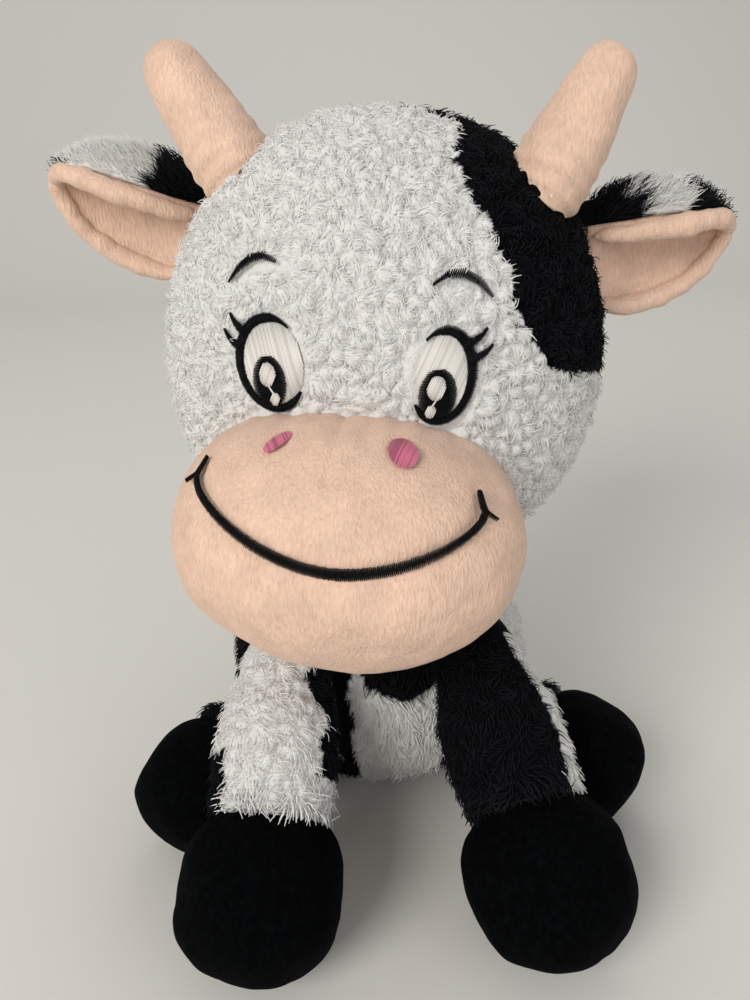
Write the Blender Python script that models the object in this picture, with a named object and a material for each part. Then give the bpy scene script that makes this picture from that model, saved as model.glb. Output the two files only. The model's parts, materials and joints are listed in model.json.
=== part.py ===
"""A sitting plush cow, sewn from curly fleece, velour and minky, with its stuffing inside.

Metres, +Z up. The cow sits on the origin, the middle of its flat seat, and faces -Y, so its
own left side is at +X. Each stuffed part is a sewn cover, open at its seam, round its own wad
of stuffing. Limbs, ears and tail end in a round root that lies in a socket of the larger part,
and the head sits on the torso's round neck.
"""

import math

import bmesh
import bpy
from mathutils import Matrix, Vector

# Cloth, seams and clearances
CLOTH = 0.0020
SEAM_GAP = 0.0003
TURN_GAP = 0.0006
REST_CUT = 0.0005
OVERRUN = 0.0100

# Torso: a pear with a flattened seat and a round neck on top
TORSO_HALF_WIDTH = 0.0690
TORSO_HALF_DEPTH = 0.0660
BELLY_HEIGHT = 0.0500
SEAT_POWER = 2.8
NECK_PIVOT_HEIGHT = 0.0700
NECK_RADIUS = 0.0510
NECK_ANGLE = math.radians(52)
NECK_HOLE_ANGLE = math.radians(16)
FLANK_CURVE = 0.0200
PELLET_BAG_HEIGHT = 0.0240

# Neck seam ring, the turned-in hem between the torso and the head
HEM_THICKNESS = 0.0018
HEM_INNER_ANGLE = math.radians(18)
HEM_OUTER_ANGLE = math.radians(33)

# Head, in its own frame about the neck pivot, facing -Y
HEAD_TURN = math.radians(-9)
HEAD_TILT = math.radians(4)
HEAD_SIDE_SHIFT = -0.0030
HEAD_LIFT = 0.0370
HEAD_HALF_WIDTH = 0.0880
HEAD_HALF_DEPTH = 0.0770
HEAD_HALF_HEIGHT = 0.0900
HEAD_POWER = 2.15
CHEEK_SHARE = 0.03

# Muzzle, a bun sewn to the front of the head
MUZZLE_DROP = 0.0485
MUZZLE_REACH = 0.0800
MUZZLE_HALF_WIDTH = 0.0630
MUZZLE_HALF_HEIGHT = 0.0455
MUZZLE_HALF_DEPTH = 0.0450
MUZZLE_POWER = 2.3
MUZZLE_SQUARENESS = 0.88

# Horns, stubby cones with round tips
HORN_SIDE_SHARE = 0.682
HORN_AHEAD_SHARE = 0.156
HORN_RISE_SHARE = 0.789
LEFT_HORN_LEAN = math.radians(25)
RIGHT_HORN_LEAN = math.radians(34)
HORN_LENGTH = 0.0470
HORN_SINK = 0.0120
HORN_BASE_RADIUS = 0.0165
HORN_MIDDLE_RADIUS = 0.0148
HORN_TIP_RADIUS = 0.0115
HORN_CURL = 0.0020

# Ears, each a leaf folded lengthwise, fleece outside and minky inside
EAR_RISE_SHARE = 0.428
EAR_ROOT_AZIMUTH = math.radians(-6)
EAR_SEAM_TILT = math.radians(19)
LEFT_EAR_DROOP = math.radians(8)
LEFT_EAR_SWEEP = math.radians(22)
RIGHT_EAR_DROOP = math.radians(1)
RIGHT_EAR_SWEEP = math.radians(-8)
EAR_LENGTH = 0.0620
EAR_HALF_HEIGHT = 0.0260
EAR_HALF_DEPTH = 0.0140
EAR_BACK_CLOTH = 0.0020
EAR_LINING_CLOTH = 0.0012
EAR_LAYER_GAP = 0.0005
EAR_LINING_SHARE = 0.96
EAR_ROOT_RADIUS = 0.0065
EAR_ROOT_HALF_LENGTH = 0.0150
EAR_ROOT_STEP = 0.0042
EAR_MIDDLE_ANGLE = math.radians(-40)
EAR_SPREAD = math.radians(110)
EAR_PLACE_SHARES = (0.00, 0.15, 0.33, 0.53, 0.72, 0.86, 0.95, 1.00)
EAR_HEIGHT_SHARES = (0.88, 0.98, 1.00, 0.96, 0.84, 0.64, 0.42, 0.20)
EAR_DEPTH_SHARES = (0.40, 0.74, 0.98, 1.00, 0.90, 0.72, 0.52, 0.28)
EAR_SPREAD_SHARES = (0.95, 1.00, 1.00, 1.00, 0.96, 0.90, 0.80, 0.60)

# Embroidery, thin raised stitching
STITCH_THICKNESS = 0.0008
EYE_SIDE = 0.0290
EYE_RISE = 0.0100
EYE_HALF_WIDTH = 0.0095
EYE_HALF_HEIGHT = 0.0142
EYE_RIM = 0.0016
LASH_LENGTH = 0.0075
LASH_PLACES = (2, 4)
RIM_SIDES = 40
PUPIL_HALF_WIDTH = 0.0056
PUPIL_HALF_HEIGHT = 0.0088
PUPIL_DROP = 0.0060
GLINT_HALF_WIDTH = 0.0023
GLINT_HALF_HEIGHT = 0.0034
GLINT_RISE = 0.0030
SMALL_GLINT_RADIUS = 0.0015
SMALL_GLINT_DROP = 0.0052
SMALL_GLINT_SIDE = 0.0012
BROW_SIDE = 0.0345
BROW_RISE = 0.0380
BROW_HALF_LENGTH = 0.0085
BROW_WIDTH = 0.0022
BROW_ARCH = 0.0035
BROW_SLOPE = math.radians(-18)
NOSTRIL_SIDE = 0.0200
NOSTRIL_CLIMB = 0.0520
NOSTRIL_HALF_WIDTH = 0.0050
NOSTRIL_HALF_HEIGHT = 0.0040
SMILE_HALF_WIDTH = 0.0470
SMILE_LOW = 0.0095
SMILE_HIGH = 0.0395
SMILE_SLOPE = math.radians(-3)
SMILE_WIDTH = 0.0030
SMILE_POWER = 1.8
DIMPLE_HALF_LENGTH = 0.0055
DIMPLE_LEAN = math.radians(30)

# Limbs: where each root sits on the torso, and how it tapers to its hoof
FRONT_ROOT_AZIMUTH = math.radians(32)
FRONT_ROOT_HEIGHT = 0.0800
FRONT_ROOT_RADIUS = 0.0160
FRONT_ROOT_STANDOFF = 0.0155
FRONT_LEG_LENGTH = 0.0660
FRONT_LEG_RADIUS = 0.0235
FRONT_ANKLE_RADIUS = 0.0205
FRONT_HOOF_RADIUS = 0.0305
FRONT_HOOF_LENGTH = 0.0550
HIND_ROOT_AZIMUTH = math.radians(50)
HIND_ROOT_HEIGHT = 0.0390
HIND_ROOT_RADIUS = 0.0150
HIND_ROOT_STANDOFF = 0.0080
HIND_LEG_LENGTH = 0.0110
HIND_LEG_RADIUS = 0.0205
HIND_ANKLE_RADIUS = 0.0185
HIND_HOOF_RADIUS = 0.0275
HIND_HOOF_LENGTH = 0.0480
HOOF_POWER = 2.6
LEG_SWELL_SHARES = (0.10, 0.80, 0.90)
FRONT_LEFT_YAW = math.radians(17)
FRONT_RIGHT_YAW = math.radians(-7.5)
HIND_LEFT_YAW = math.radians(60)
HIND_RIGHT_YAW = math.radians(-36)

BLACK_LEG = "front_leg_left"

# Tail
TAIL_ROOT_HEIGHT = 0.0660
TAIL_ROOT_RADIUS = 0.0070
TAIL_ROOT_STANDOFF = 0.0050
TAIL_PITCH = math.radians(52)
TAIL_LENGTH = 0.0300
TAIL_RADIUS = 0.0075
TUFT_LENGTH = 0.0300
TUFT_RADIUS = 0.0130
TUFT_NECK_RADIUS = 0.0060

# How finely a length is found by halving
BISECTION_FINENESS = 1000

# Facets round each kind of piece
TORSO_SIDES = 24
HEAD_SIDES = 28
HEAD_RINGS = 12
MUZZLE_SIDES = 24
LEG_SIDES = 12
HOOF_SIDES = 16
HORN_SIDES = 12
TAIL_SIDES = 10
ROOT_SIDES = 16
KNOB_SIDES = 12
CUP_SIDES = 36
OVAL_SIDES = 16

# Colours as linear RGB, then roughness
FINISHES = {
    "white_fleece": ((0.66, 0.64, 0.60), 0.95),
    "black_fleece": ((0.004, 0.004, 0.006), 0.95),
    "velour": ((0.005, 0.005, 0.006), 0.90),
    "minky": ((0.74, 0.48, 0.35), 0.85),
    "white_thread": ((0.58, 0.54, 0.50), 0.50),
    "black_thread": ((0.006, 0.006, 0.007), 0.55),
    "pink_thread": ((0.54, 0.11, 0.20), 0.50),
    "stuffing": ((0.80, 0.80, 0.78), 1.00),
    "pellets": ((0.60, 0.60, 0.58), 0.60),
}


def finish(name):
    """The material of that name, made once."""
    if name in bpy.data.materials:
        return bpy.data.materials[name]
    colour, roughness = FINISHES[name]
    material = bpy.data.materials.new(name)
    material.use_nodes = True
    shader = material.node_tree.nodes["Principled BSDF"]
    shader.inputs["Base Color"].default_value = (*colour, 1)
    shader.inputs["Roughness"].default_value = roughness
    shader.inputs["Metallic"].default_value = 0
    return material


def place(name, mesh, material, parent=None):
    """Puts a bmesh into the scene as one object, with its faces outwards and smooth."""
    bmesh.ops.recalc_face_normals(mesh, faces=mesh.faces)
    data = bpy.data.meshes.new(name)
    mesh.to_mesh(data)
    mesh.free()
    data.shade_smooth()
    thing = bpy.data.objects.new(name, data)
    bpy.context.collection.objects.link(thing)
    if material:
        thing.data.materials.append(finish(material))
    thing.parent = parent
    return thing


def pivot(name, matrix, parent=None):
    """An empty on a joint, which carries what moves there."""
    empty = bpy.data.objects.new(name, None)
    bpy.context.collection.objects.link(empty)
    empty.parent = parent
    empty.matrix_local = matrix
    return empty


def hide_cutter(thing):
    """Marks a cutter, which is no piece of the toy."""
    thing.hide_render = True
    thing.display_type = "WIRE"
    return thing


def combine(target, other, operation):
    """Adds one exact boolean to a piece."""
    modifier = target.modifiers.new(other.name, "BOOLEAN")
    modifier.operation = operation
    modifier.solver = "EXACT"
    modifier.object = other


def cut(target, *cutters):
    """Cuts each cutter out of a piece."""
    for cutter in cutters:
        combine(target, cutter, "DIFFERENCE")


def arc(height, radius, start, end, steps):
    """Points (radius, height) on a circle about the axis, by angle from straight up."""
    angles = [start + (end - start) * i / steps for i in range(steps + 1)]
    return [(radius * math.sin(a), height + radius * math.cos(a)) for a in angles]


def bezier(start, leave, arrive, end, steps):
    """Points on a cubic curve, without its first one."""
    points = []
    for i in range(1, steps + 1):
        t = i / steps
        weights = ((1 - t) ** 3, 3 * t * (1 - t) ** 2, 3 * t * t * (1 - t), t**3)
        corners = (start, leave, arrive, end)
        points.append(tuple(sum(w * c[k] for w, c in zip(weights, corners)) for k in (0, 1)))
    return points


def inset(profile, depth):
    """The profile moved inwards. Its outer side lies to the right of its direction."""
    moved = []
    for i, (r, z) in enumerate(profile):
        before = profile[max(i - 1, 0)]
        after = profile[min(i + 1, len(profile) - 1)]
        step = Vector((after[0] - before[0], after[1] - before[1])).normalized()
        if r == 0:
            step = Vector((1, 0)) if i == 0 else Vector((-1, 0))
        moved.append((max(r - step.y * depth, 0), z + step.x * depth))
    return moved


def below(profile, level):
    """The stretch of a rising profile up to a level."""
    kept = [profile[0]]
    for (r0, z0), (r1, z1) in zip(profile, profile[1:]):
        if z1 >= level:
            return kept + [(r0 + (r1 - r0) * (level - z0) / (z1 - z0), level)]
        kept.append((r1, z1))
    return kept


def above(profile, level):
    """The stretch of a rising profile from a level up."""
    kept = []
    for (r0, z0), (r1, z1) in zip(profile, profile[1:]):
        if z0 < level <= z1:
            kept.append((r0 + (r1 - r0) * (level - z0) / (z1 - z0), level))
        if z1 > level:
            kept.append((r1, z1))
    return kept


def turned(profile, sides, stretch=None, squareness=1):
    """A closed body from a profile (radius, height) that runs from the axis back to the axis."""
    mesh = bmesh.new()
    rings = []
    for r, z in profile:
        if r == 0:
            rings.append([mesh.verts.new((0, 0, z))])
            continue
        wide, deep = stretch(z) if stretch else (1, 1)
        ring = []
        for k in range(sides):
            angle = 2 * math.pi * k / sides
            x = math.copysign(abs(math.cos(angle)) ** squareness, math.cos(angle))
            y = math.copysign(abs(math.sin(angle)) ** squareness, math.sin(angle))
            ring.append(mesh.verts.new((r * wide * x, r * deep * y, z)))
        rings.append(ring)
    for low, high in zip(rings, rings[1:]):
        for k in range(sides):
            j = (k + 1) % sides
            if len(low) == 1:
                mesh.faces.new((low[0], high[k], high[j]))
            elif len(high) == 1:
                mesh.faces.new((low[k], low[j], high[0]))
            else:
                mesh.faces.new((low[k], low[j], high[j], high[k]))
    return mesh


def cover_profile(outer):
    """The outer side from its pole to the seam, and the inner side back, a cloth's thickness in."""
    return outer + inset(outer, CLOTH)[::-1]


def wad_profile(outer):
    """The stuffing's side, clear of the cloth, closed flat across the seam."""
    wad = inset(outer, CLOTH + SEAM_GAP)
    return wad + [(0, wad[-1][1])]


def ball(name, radius, sides, parent):
    """A ball that cuts a socket, or is joined on as a root."""
    steps = sides // 2
    profile = [(0, radius)] + arc(0, radius, 0, math.pi, steps)[1:-1] + [(0, -radius)]
    return hide_cutter(place(name, turned(profile, sides), None, parent))


# Torso


def torso_profile():
    """The torso's outer side, from the middle of the seat to the neck hole."""
    bend = 2 / SEAT_POWER
    depth = BELLY_HEIGHT + REST_CUT
    start = math.acos((BELLY_HEIGHT / depth) ** (1 / bend))
    points = [(0, 0), (TORSO_HALF_DEPTH * math.sin(start) ** bend, 0)]
    steps = 5
    for i in range(1, steps):
        angle = start + (math.pi / 2 - start) * i / steps
        z = BELLY_HEIGHT - depth * math.cos(angle) ** bend
        points.append((TORSO_HALF_DEPTH * math.sin(angle) ** bend, z))
    neck = arc(NECK_PIVOT_HEIGHT, NECK_RADIUS, NECK_ANGLE, NECK_HOLE_ANGLE, 3)
    r, z = neck[0]
    belly = (TORSO_HALF_DEPTH, BELLY_HEIGHT)
    points.append(belly)
    leave = (TORSO_HALF_DEPTH, BELLY_HEIGHT + FLANK_CURVE)
    arrive = (r + FLANK_CURVE * math.cos(NECK_ANGLE), z - FLANK_CURVE * math.sin(NECK_ANGLE))
    points += bezier(belly, leave, arrive, neck[0], 3)
    return points + neck[1:]


def torso_stretch(z):
    """How much wider than deep the torso is at a height: none on the round neck."""
    top = NECK_PIVOT_HEIGHT + NECK_RADIUS * math.cos(NECK_ANGLE)
    share = min(max((top - z) / (top - BELLY_HEIGHT), 0), 1)
    wider = TORSO_HALF_WIDTH / TORSO_HALF_DEPTH - 1
    return 1 + wider * share * share * (3 - 2 * share), 1


def torso_point(azimuth, height, standoff):
    """A point off the torso's side. Azimuth 0 is straight ahead and grows towards +X."""
    profile = torso_profile()
    for (r0, z0), (r1, z1) in zip(profile, profile[1:]):
        if z0 <= height < z1:
            r = r0 + (r1 - r0) * (height - z0) / (z1 - z0)
            rise = (r0 - r1) / (z1 - z0)
    wide = torso_stretch(height)[0]
    point = Vector((r * wide * math.sin(azimuth), -r * math.cos(azimuth), height))
    normal = Vector((math.sin(azimuth) / wide, -math.cos(azimuth), rise)).normalized()
    return point + normal * standoff


def make_torso(sockets):
    """Torso cover, its stuffing and the pellet bag in its seat."""
    outer = torso_profile()
    cloth = turned(cover_profile(outer), TORSO_SIDES, torso_stretch)
    cover = place("body_cover", cloth, "white_fleece")
    inner = inset(outer, CLOTH + SEAM_GAP)
    low = PELLET_BAG_HEIGHT + SEAM_GAP
    wad = [(0, low)] + above(inner, low) + [(0, inner[-1][1])]
    stuffing = place("body_stuffing", turned(wad, TORSO_SIDES, torso_stretch), "stuffing")
    bag = below(inner, PELLET_BAG_HEIGHT) + [(0, PELLET_BAG_HEIGHT)]
    place("pellet_bag", turned(bag, TORSO_SIDES, torso_stretch), "pellets")
    cut(cover, *sockets)
    cut(stuffing, *sockets)


def make_neck():
    """The hem by which the head is sewn on: a band of a ball round the neck pivot."""
    inside = NECK_RADIUS + TURN_GAP
    outside = inside + HEM_THICKNESS
    joint = pivot("neck_pivot", Matrix.Translation((0, 0, NECK_PIVOT_HEIGHT)))
    outer = arc(0, outside, HEM_OUTER_ANGLE, HEM_INNER_ANGLE, 3)
    inner = arc(0, inside, HEM_INNER_ANGLE, HEM_OUTER_ANGLE, 3)
    mesh = bmesh.new()
    rings = []
    for r, z in outer + inner:
        ring = []
        for k in range(HEAD_SIDES):
            angle = 2 * math.pi * k / HEAD_SIDES
            ring.append(mesh.verts.new((r * math.cos(angle), r * math.sin(angle), z)))
        rings.append(ring)
    for low, high in zip(rings, rings[1:] + rings[:1]):
        for k in range(HEAD_SIDES):
            j = (k + 1) % HEAD_SIDES
            mesh.faces.new((low[k], low[j], high[j], high[k]))
    place("neck_seam_ring", mesh, "white_fleece", joint)


# Head


def head_radius(z, grow=0):
    """Half the head's width at a height above its middle, with a grown skin if asked."""
    high = HEAD_HALF_HEIGHT + grow
    share = max(1 - (abs(z) / high) ** HEAD_POWER, 0) ** (1 / HEAD_POWER)
    return (HEAD_HALF_WIDTH + grow) * share * (1 - CHEEK_SHARE * z / high)


def head_profile(steps, grow=0):
    """The head's side from its bottom pole to its crown."""
    high = HEAD_HALF_HEIGHT + grow
    points = [(0, -high)]
    for i in range(1, steps):
        z = -high * math.cos(math.pi * i / steps)
        points.append((head_radius(z, grow), z))
    return points + [(0, high)]


def head_stretch(_):
    """The head is a little wider than it is deep."""
    return 1, HEAD_HALF_DEPTH / HEAD_HALF_WIDTH


def head_front(x, z):
    """The point of the head's front at a place beside and above its middle."""
    deep = head_stretch(z)[1]
    r = head_radius(z)
    return Vector((x, -deep * math.sqrt(max(r * r - x * x, 0)), z))


def muzzle_front(x, climb):
    """The point of the muzzle's front beside its middle and this far up round its bulge."""
    angle = climb / MUZZLE_HALF_HEIGHT
    side = (abs(x) / MUZZLE_HALF_WIDTH) ** (2 / MUZZLE_SQUARENESS)
    near, far = 0, MUZZLE_HALF_HEIGHT + MUZZLE_HALF_DEPTH
    while far - near > SEAM_GAP / BISECTION_FINENESS:
        reach = (near + far) / 2
        rise = (reach * abs(math.sin(angle)) / MUZZLE_HALF_HEIGHT) ** (2 / MUZZLE_SQUARENESS)
        round_part = (side + rise) ** (MUZZLE_SQUARENESS * MUZZLE_POWER / 2)
        deep_part = abs(reach * math.cos(angle) / MUZZLE_HALF_DEPTH) ** MUZZLE_POWER
        if round_part + deep_part < 1:
            near = reach
        else:
            far = reach
    return Vector((x, -near * math.cos(angle), near * math.sin(angle)))


def make_head():
    """Head cover, open at the neck, and its stuffing, both cut by the neck's ball."""
    lean = Matrix.Rotation(HEAD_TURN, 4, "Z") @ Matrix.Rotation(HEAD_TILT, 4, "Y")
    joint = pivot("head_pivot", Matrix.Translation((0, 0, NECK_PIVOT_HEIGHT)) @ lean)
    rise = HEAD_HALF_HEIGHT + HEAD_LIFT
    middle = pivot("head_middle", Matrix.Translation((HEAD_SIDE_SHIFT, 0, rise)), joint)
    cup = ball("neck_cup", NECK_RADIUS + HEM_THICKNESS + 2 * TURN_GAP, CUP_SIDES, joint)
    outer = head_profile(HEAD_RINGS)
    shell = place("head_cover", turned(outer, HEAD_SIDES, head_stretch), "white_fleece", middle)
    inside = turned(inset(outer, CLOTH), HEAD_SIDES, head_stretch)
    hollow = hide_cutter(place("head_hollow", inside, None, middle))
    wad = inset(outer, CLOTH + SEAM_GAP)
    stuffing = place("head_stuffing", turned(wad, HEAD_SIDES, head_stretch), "stuffing", middle)
    return middle, cup, shell, hollow, stuffing


def make_muzzle(middle):
    """Muzzle cover, open towards the head, and its stuffing, both cut by the head."""
    form = turned(head_profile(HEAD_RINGS, SEAM_GAP), HEAD_SIDES, head_stretch)
    head = hide_cutter(place("head_form", form, None, middle))
    face = Matrix.Translation((0, -MUZZLE_REACH, -MUZZLE_DROP))
    nose = pivot("muzzle_middle", face, middle)
    ahead = pivot("muzzle_axis", Matrix.Rotation(math.pi / 2, 4, "X"), nose)
    steps = 10
    outer = [(0, MUZZLE_HALF_DEPTH)]
    for i in range(1, steps):
        z = MUZZLE_HALF_DEPTH * math.cos(math.pi * i / steps)
        share = (1 - (abs(z) / MUZZLE_HALF_DEPTH) ** MUZZLE_POWER) ** (1 / MUZZLE_POWER)
        outer.append((MUZZLE_HALF_HEIGHT * share, z))

    def wide(_):
        return MUZZLE_HALF_WIDTH / MUZZLE_HALF_HEIGHT, 1

    def lined(depth):
        return inset(outer[::-1], depth)[::-1]

    cover = place(
        "muzzle_cover",
        turned(outer + lined(CLOTH)[::-1], MUZZLE_SIDES, wide, MUZZLE_SQUARENESS),
        "minky",
        ahead,
    )
    wad = lined(CLOTH + SEAM_GAP)
    stuffing = place(
        "muzzle_stuffing",
        turned(wad + [(0, wad[-1][1])], MUZZLE_SIDES, wide, MUZZLE_SQUARENESS),
        "stuffing",
        ahead,
    )
    cut(cover, head)
    cut(stuffing, head)
    return head, nose


def horn_profile():
    """A horn's outer side from its open base to its tip."""
    straight = HORN_LENGTH - HORN_TIP_RADIUS
    points = [(HORN_BASE_RADIUS, -HORN_SINK), (HORN_BASE_RADIUS, 0)]
    points += [(HORN_MIDDLE_RADIUS, straight / 2)]
    tip = arc(straight, HORN_TIP_RADIUS, math.pi / 2, 0, 4)
    return points + tip[:-1] + [(0, HORN_LENGTH)]


def make_horn(side, sign, lean, middle, head):
    """One horn's cover and stuffing, leaning outwards, cut by the head."""
    root = (
        sign * HEAD_HALF_WIDTH * HORN_SIDE_SHARE,
        -HEAD_HALF_DEPTH * HORN_AHEAD_SHARE,
        HEAD_HALF_HEIGHT * HORN_RISE_SHARE,
    )
    spot = Matrix.Translation(root)
    base = pivot(f"horn_{side}_base", spot @ Matrix.Rotation(sign * lean, 4, "Y"), middle)
    outer = horn_profile()
    inner = inset(outer, CLOTH)
    wad = inset(outer, CLOTH + SEAM_GAP)
    shapes = {
        f"horn_{side}_cover": (inner[::-1] + outer, "minky"),
        f"horn_{side}_stuffing": ([(0, wad[0][1])] + wad, "stuffing"),
    }
    for name, (profile, material) in shapes.items():
        mesh = turned(profile, HORN_SIDES)
        for vertex in mesh.verts:
            rise = max(vertex.co.z, 0) / HORN_LENGTH
            vertex.co.x -= sign * HORN_CURL * rise * rise
        cut(place(name, mesh, material, base), head)


# Ears


def ear_point(station, across, depth, sign):
    """A point of the folded leaf at a station along it, from its front lip to its back lip."""
    angle = EAR_MIDDLE_ANGLE - across * EAR_SPREAD * EAR_SPREAD_SHARES[station]
    high = EAR_HALF_HEIGHT * EAR_HEIGHT_SHARES[station] - depth
    deep = EAR_HALF_DEPTH * EAR_DEPTH_SHARES[station] - depth
    x = EAR_ROOT_STEP + (EAR_LENGTH - EAR_ROOT_STEP) * EAR_PLACE_SHARES[station]
    return Vector((sign * x, -deep * math.sin(angle), high * math.cos(angle)))


def folded_sheet(stations, margin, near, thickness, sign):
    """A closed sheet of the leaf, of a thickness and this deep inside its outer face."""
    columns = 10
    spread = [2 * j / columns - 1 for j in range(columns + 1)]
    spread[0], spread[-1] = -margin, margin
    mesh = bmesh.new()
    layers = []
    for depth in (near, near + thickness):
        grid = []
        for station in stations:
            row = [mesh.verts.new(ear_point(station, s, depth, sign)) for s in spread]
            grid.append(row)
        layers.append(grid)
    top, bottom = layers
    rows = len(top) - 1
    for i in range(rows):
        for j in range(columns):
            for grid in layers:
                corners = (grid[i][j], grid[i + 1][j], grid[i + 1][j + 1], grid[i][j + 1])
                mesh.faces.new(corners)
    for i in range(rows):
        for j in (0, columns):
            mesh.faces.new((top[i][j], top[i + 1][j], bottom[i + 1][j], bottom[i][j]))
    for j in range(columns):
        for i in (0, rows):
            mesh.faces.new((top[i][j], top[i][j + 1], bottom[i][j + 1], bottom[i][j]))
    return mesh


def ear_root(sign):
    """Where an ear is sewn to the head, from the head's middle."""
    rise = HEAD_HALF_HEIGHT * EAR_RISE_SHARE
    r = head_radius(rise)
    deep = head_stretch(0)[1]
    azimuth = EAR_ROOT_AZIMUTH
    return Vector((sign * r * math.cos(azimuth), -r * deep * math.sin(azimuth), rise))


def seam_bead(name, radius, sides, parent):
    """The long round bead of an ear's seam: it is joined on as the root, or cuts the socket."""
    quarter = sides // 4
    low = arc(-EAR_ROOT_HALF_LENGTH, radius, math.pi, math.pi / 2, quarter)
    high = arc(EAR_ROOT_HALF_LENGTH, radius, math.pi / 2, 0, quarter)
    profile = [(0, low[0][1])] + low[1:] + high[:-1] + [(0, high[-1][1])]
    return hide_cutter(place(name, turned(profile, sides), None, parent))


def make_ear(side, sign, sweep, droop, middle):
    """One ear: fleece back with its sewn root, and minky lining. Returns its socket's cutter."""
    turn = Matrix.Rotation(-sign * EAR_SEAM_TILT, 4, "Y") @ Matrix.Rotation(sign * sweep, 4, "Z")
    hang = Matrix.Rotation(sign * droop, 4, "Y")
    root = pivot(f"ear_{side}_pivot", Matrix.Translation(ear_root(sign)) @ turn, middle)
    stations = range(len(EAR_PLACE_SHARES))
    leaf = folded_sheet(stations, 1, 0, EAR_BACK_CLOTH, sign)
    leaf.transform(hang)
    back = place(f"ear_{side}_back", leaf, "white_fleece", root)
    combine(back, seam_bead(f"ear_{side}_bead", EAR_ROOT_RADIUS, KNOB_SIDES, root), "UNION")
    near = EAR_BACK_CLOTH + EAR_LAYER_GAP
    lining = folded_sheet(stations[1:-1], EAR_LINING_SHARE, near, EAR_LINING_CLOTH, sign)
    lining.transform(hang)
    place(f"ear_{side}_lining", lining, "minky", root)
    return seam_bead(f"ear_{side}_socket", EAR_ROOT_RADIUS + TURN_GAP, ROOT_SIDES, root)


# Embroidery


def oval(half_width, half_height, x=0, z=0, sides=OVAL_SIDES):
    """Points round an oval."""
    angles = [2 * math.pi * k / sides for k in range(sides)]
    return [(x + half_width * math.cos(a), z + half_height * math.sin(a)) for a in angles]


def lifted(surface, x, z, lift):
    """A point at a height over a surface, along its outward normal."""
    step = STITCH_THICKNESS
    here = surface(x, z)
    beside = surface(x + step, z) - surface(x - step, z)
    above = surface(x, z + step) - surface(x, z - step)
    return here + beside.cross(above).normalized() * lift


def stitched_patch(outline, centre, surface, lift, rings=2):
    """A raised patch of satin stitch over a surface, within an outline seen from its centre."""
    mesh = bmesh.new()
    layers = []
    for height in (lift, lift + STITCH_THICKNESS):
        middle = mesh.verts.new(lifted(surface, *centre, height))
        loops = []
        for i in range(1, rings + 1):
            loop = []
            for x, z in outline:
                x = centre[0] + (x - centre[0]) * i / rings
                z = centre[1] + (z - centre[1]) * i / rings
                loop.append(mesh.verts.new(lifted(surface, x, z, height)))
            loops.append(loop)
        layers.append((middle, loops))
    count = len(outline)
    for middle, loops in layers:
        for k in range(count):
            j = (k + 1) % count
            mesh.faces.new((middle, loops[0][k], loops[0][j]))
            for near, far in zip(loops, loops[1:]):
                mesh.faces.new((near[k], far[k], far[j], near[j]))
    low, high = layers[0][1][-1], layers[1][1][-1]
    for k in range(count):
        j = (k + 1) % count
        mesh.faces.new((low[k], low[j], high[j], high[k]))
    return mesh


def stitched_ring(inner, outer, surface, lift):
    """A raised band of satin stitch between two closed outlines."""
    mesh = bmesh.new()
    loops = []
    for outline, height in (
        (inner, lift),
        (outer, lift),
        (outer, lift + STITCH_THICKNESS),
        (inner, lift + STITCH_THICKNESS),
    ):
        loops.append([mesh.verts.new(lifted(surface, x, z, height)) for x, z in outline])
    for near, far in zip(loops, loops[1:] + loops[:1]):
        for k in range(len(inner)):
            j = (k + 1) % len(inner)
            mesh.faces.new((near[k], near[j], far[j], far[k]))
    return mesh


def stitched_line(path, widths, surface, lift):
    """A raised line of satin stitch along a path, with a width at each of its points."""
    mesh = bmesh.new()
    sections = []
    for i, (x, z) in enumerate(path):
        before = Vector(path[max(i - 1, 0)])
        after = Vector(path[min(i + 1, len(path) - 1)])
        across = (after - before).normalized().orthogonal() * widths[i] / 2
        section = []
        top = lift + STITCH_THICKNESS
        for sign, height in ((-1, lift), (1, lift), (1, top), (-1, top)):
            spot = lifted(surface, x + sign * across.x, z + sign * across.y, height)
            section.append(mesh.verts.new(spot))
        sections.append(section)
    for near, far in zip(sections, sections[1:]):
        for k in range(4):
            j = (k + 1) % 4
            mesh.faces.new((near[k], near[j], far[j], far[k]))
    mesh.faces.new(sections[0])
    mesh.faces.new(sections[-1])
    return mesh


def eye_outline(sign, margin, lash):
    """An outline round the eye at a margin, drawn out by this much at each lash."""
    points = []
    for k in range(RIM_SIDES):
        angle = 2 * math.pi * k / RIM_SIDES
        reach = margin + (lash if k in LASH_PLACES else 0)
        x = (EYE_HALF_WIDTH + reach) * math.cos(angle)
        z = (EYE_HALF_HEIGHT + reach) * math.sin(angle)
        points.append((sign * (EYE_SIDE + x), EYE_RISE + z))
    return points


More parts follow.
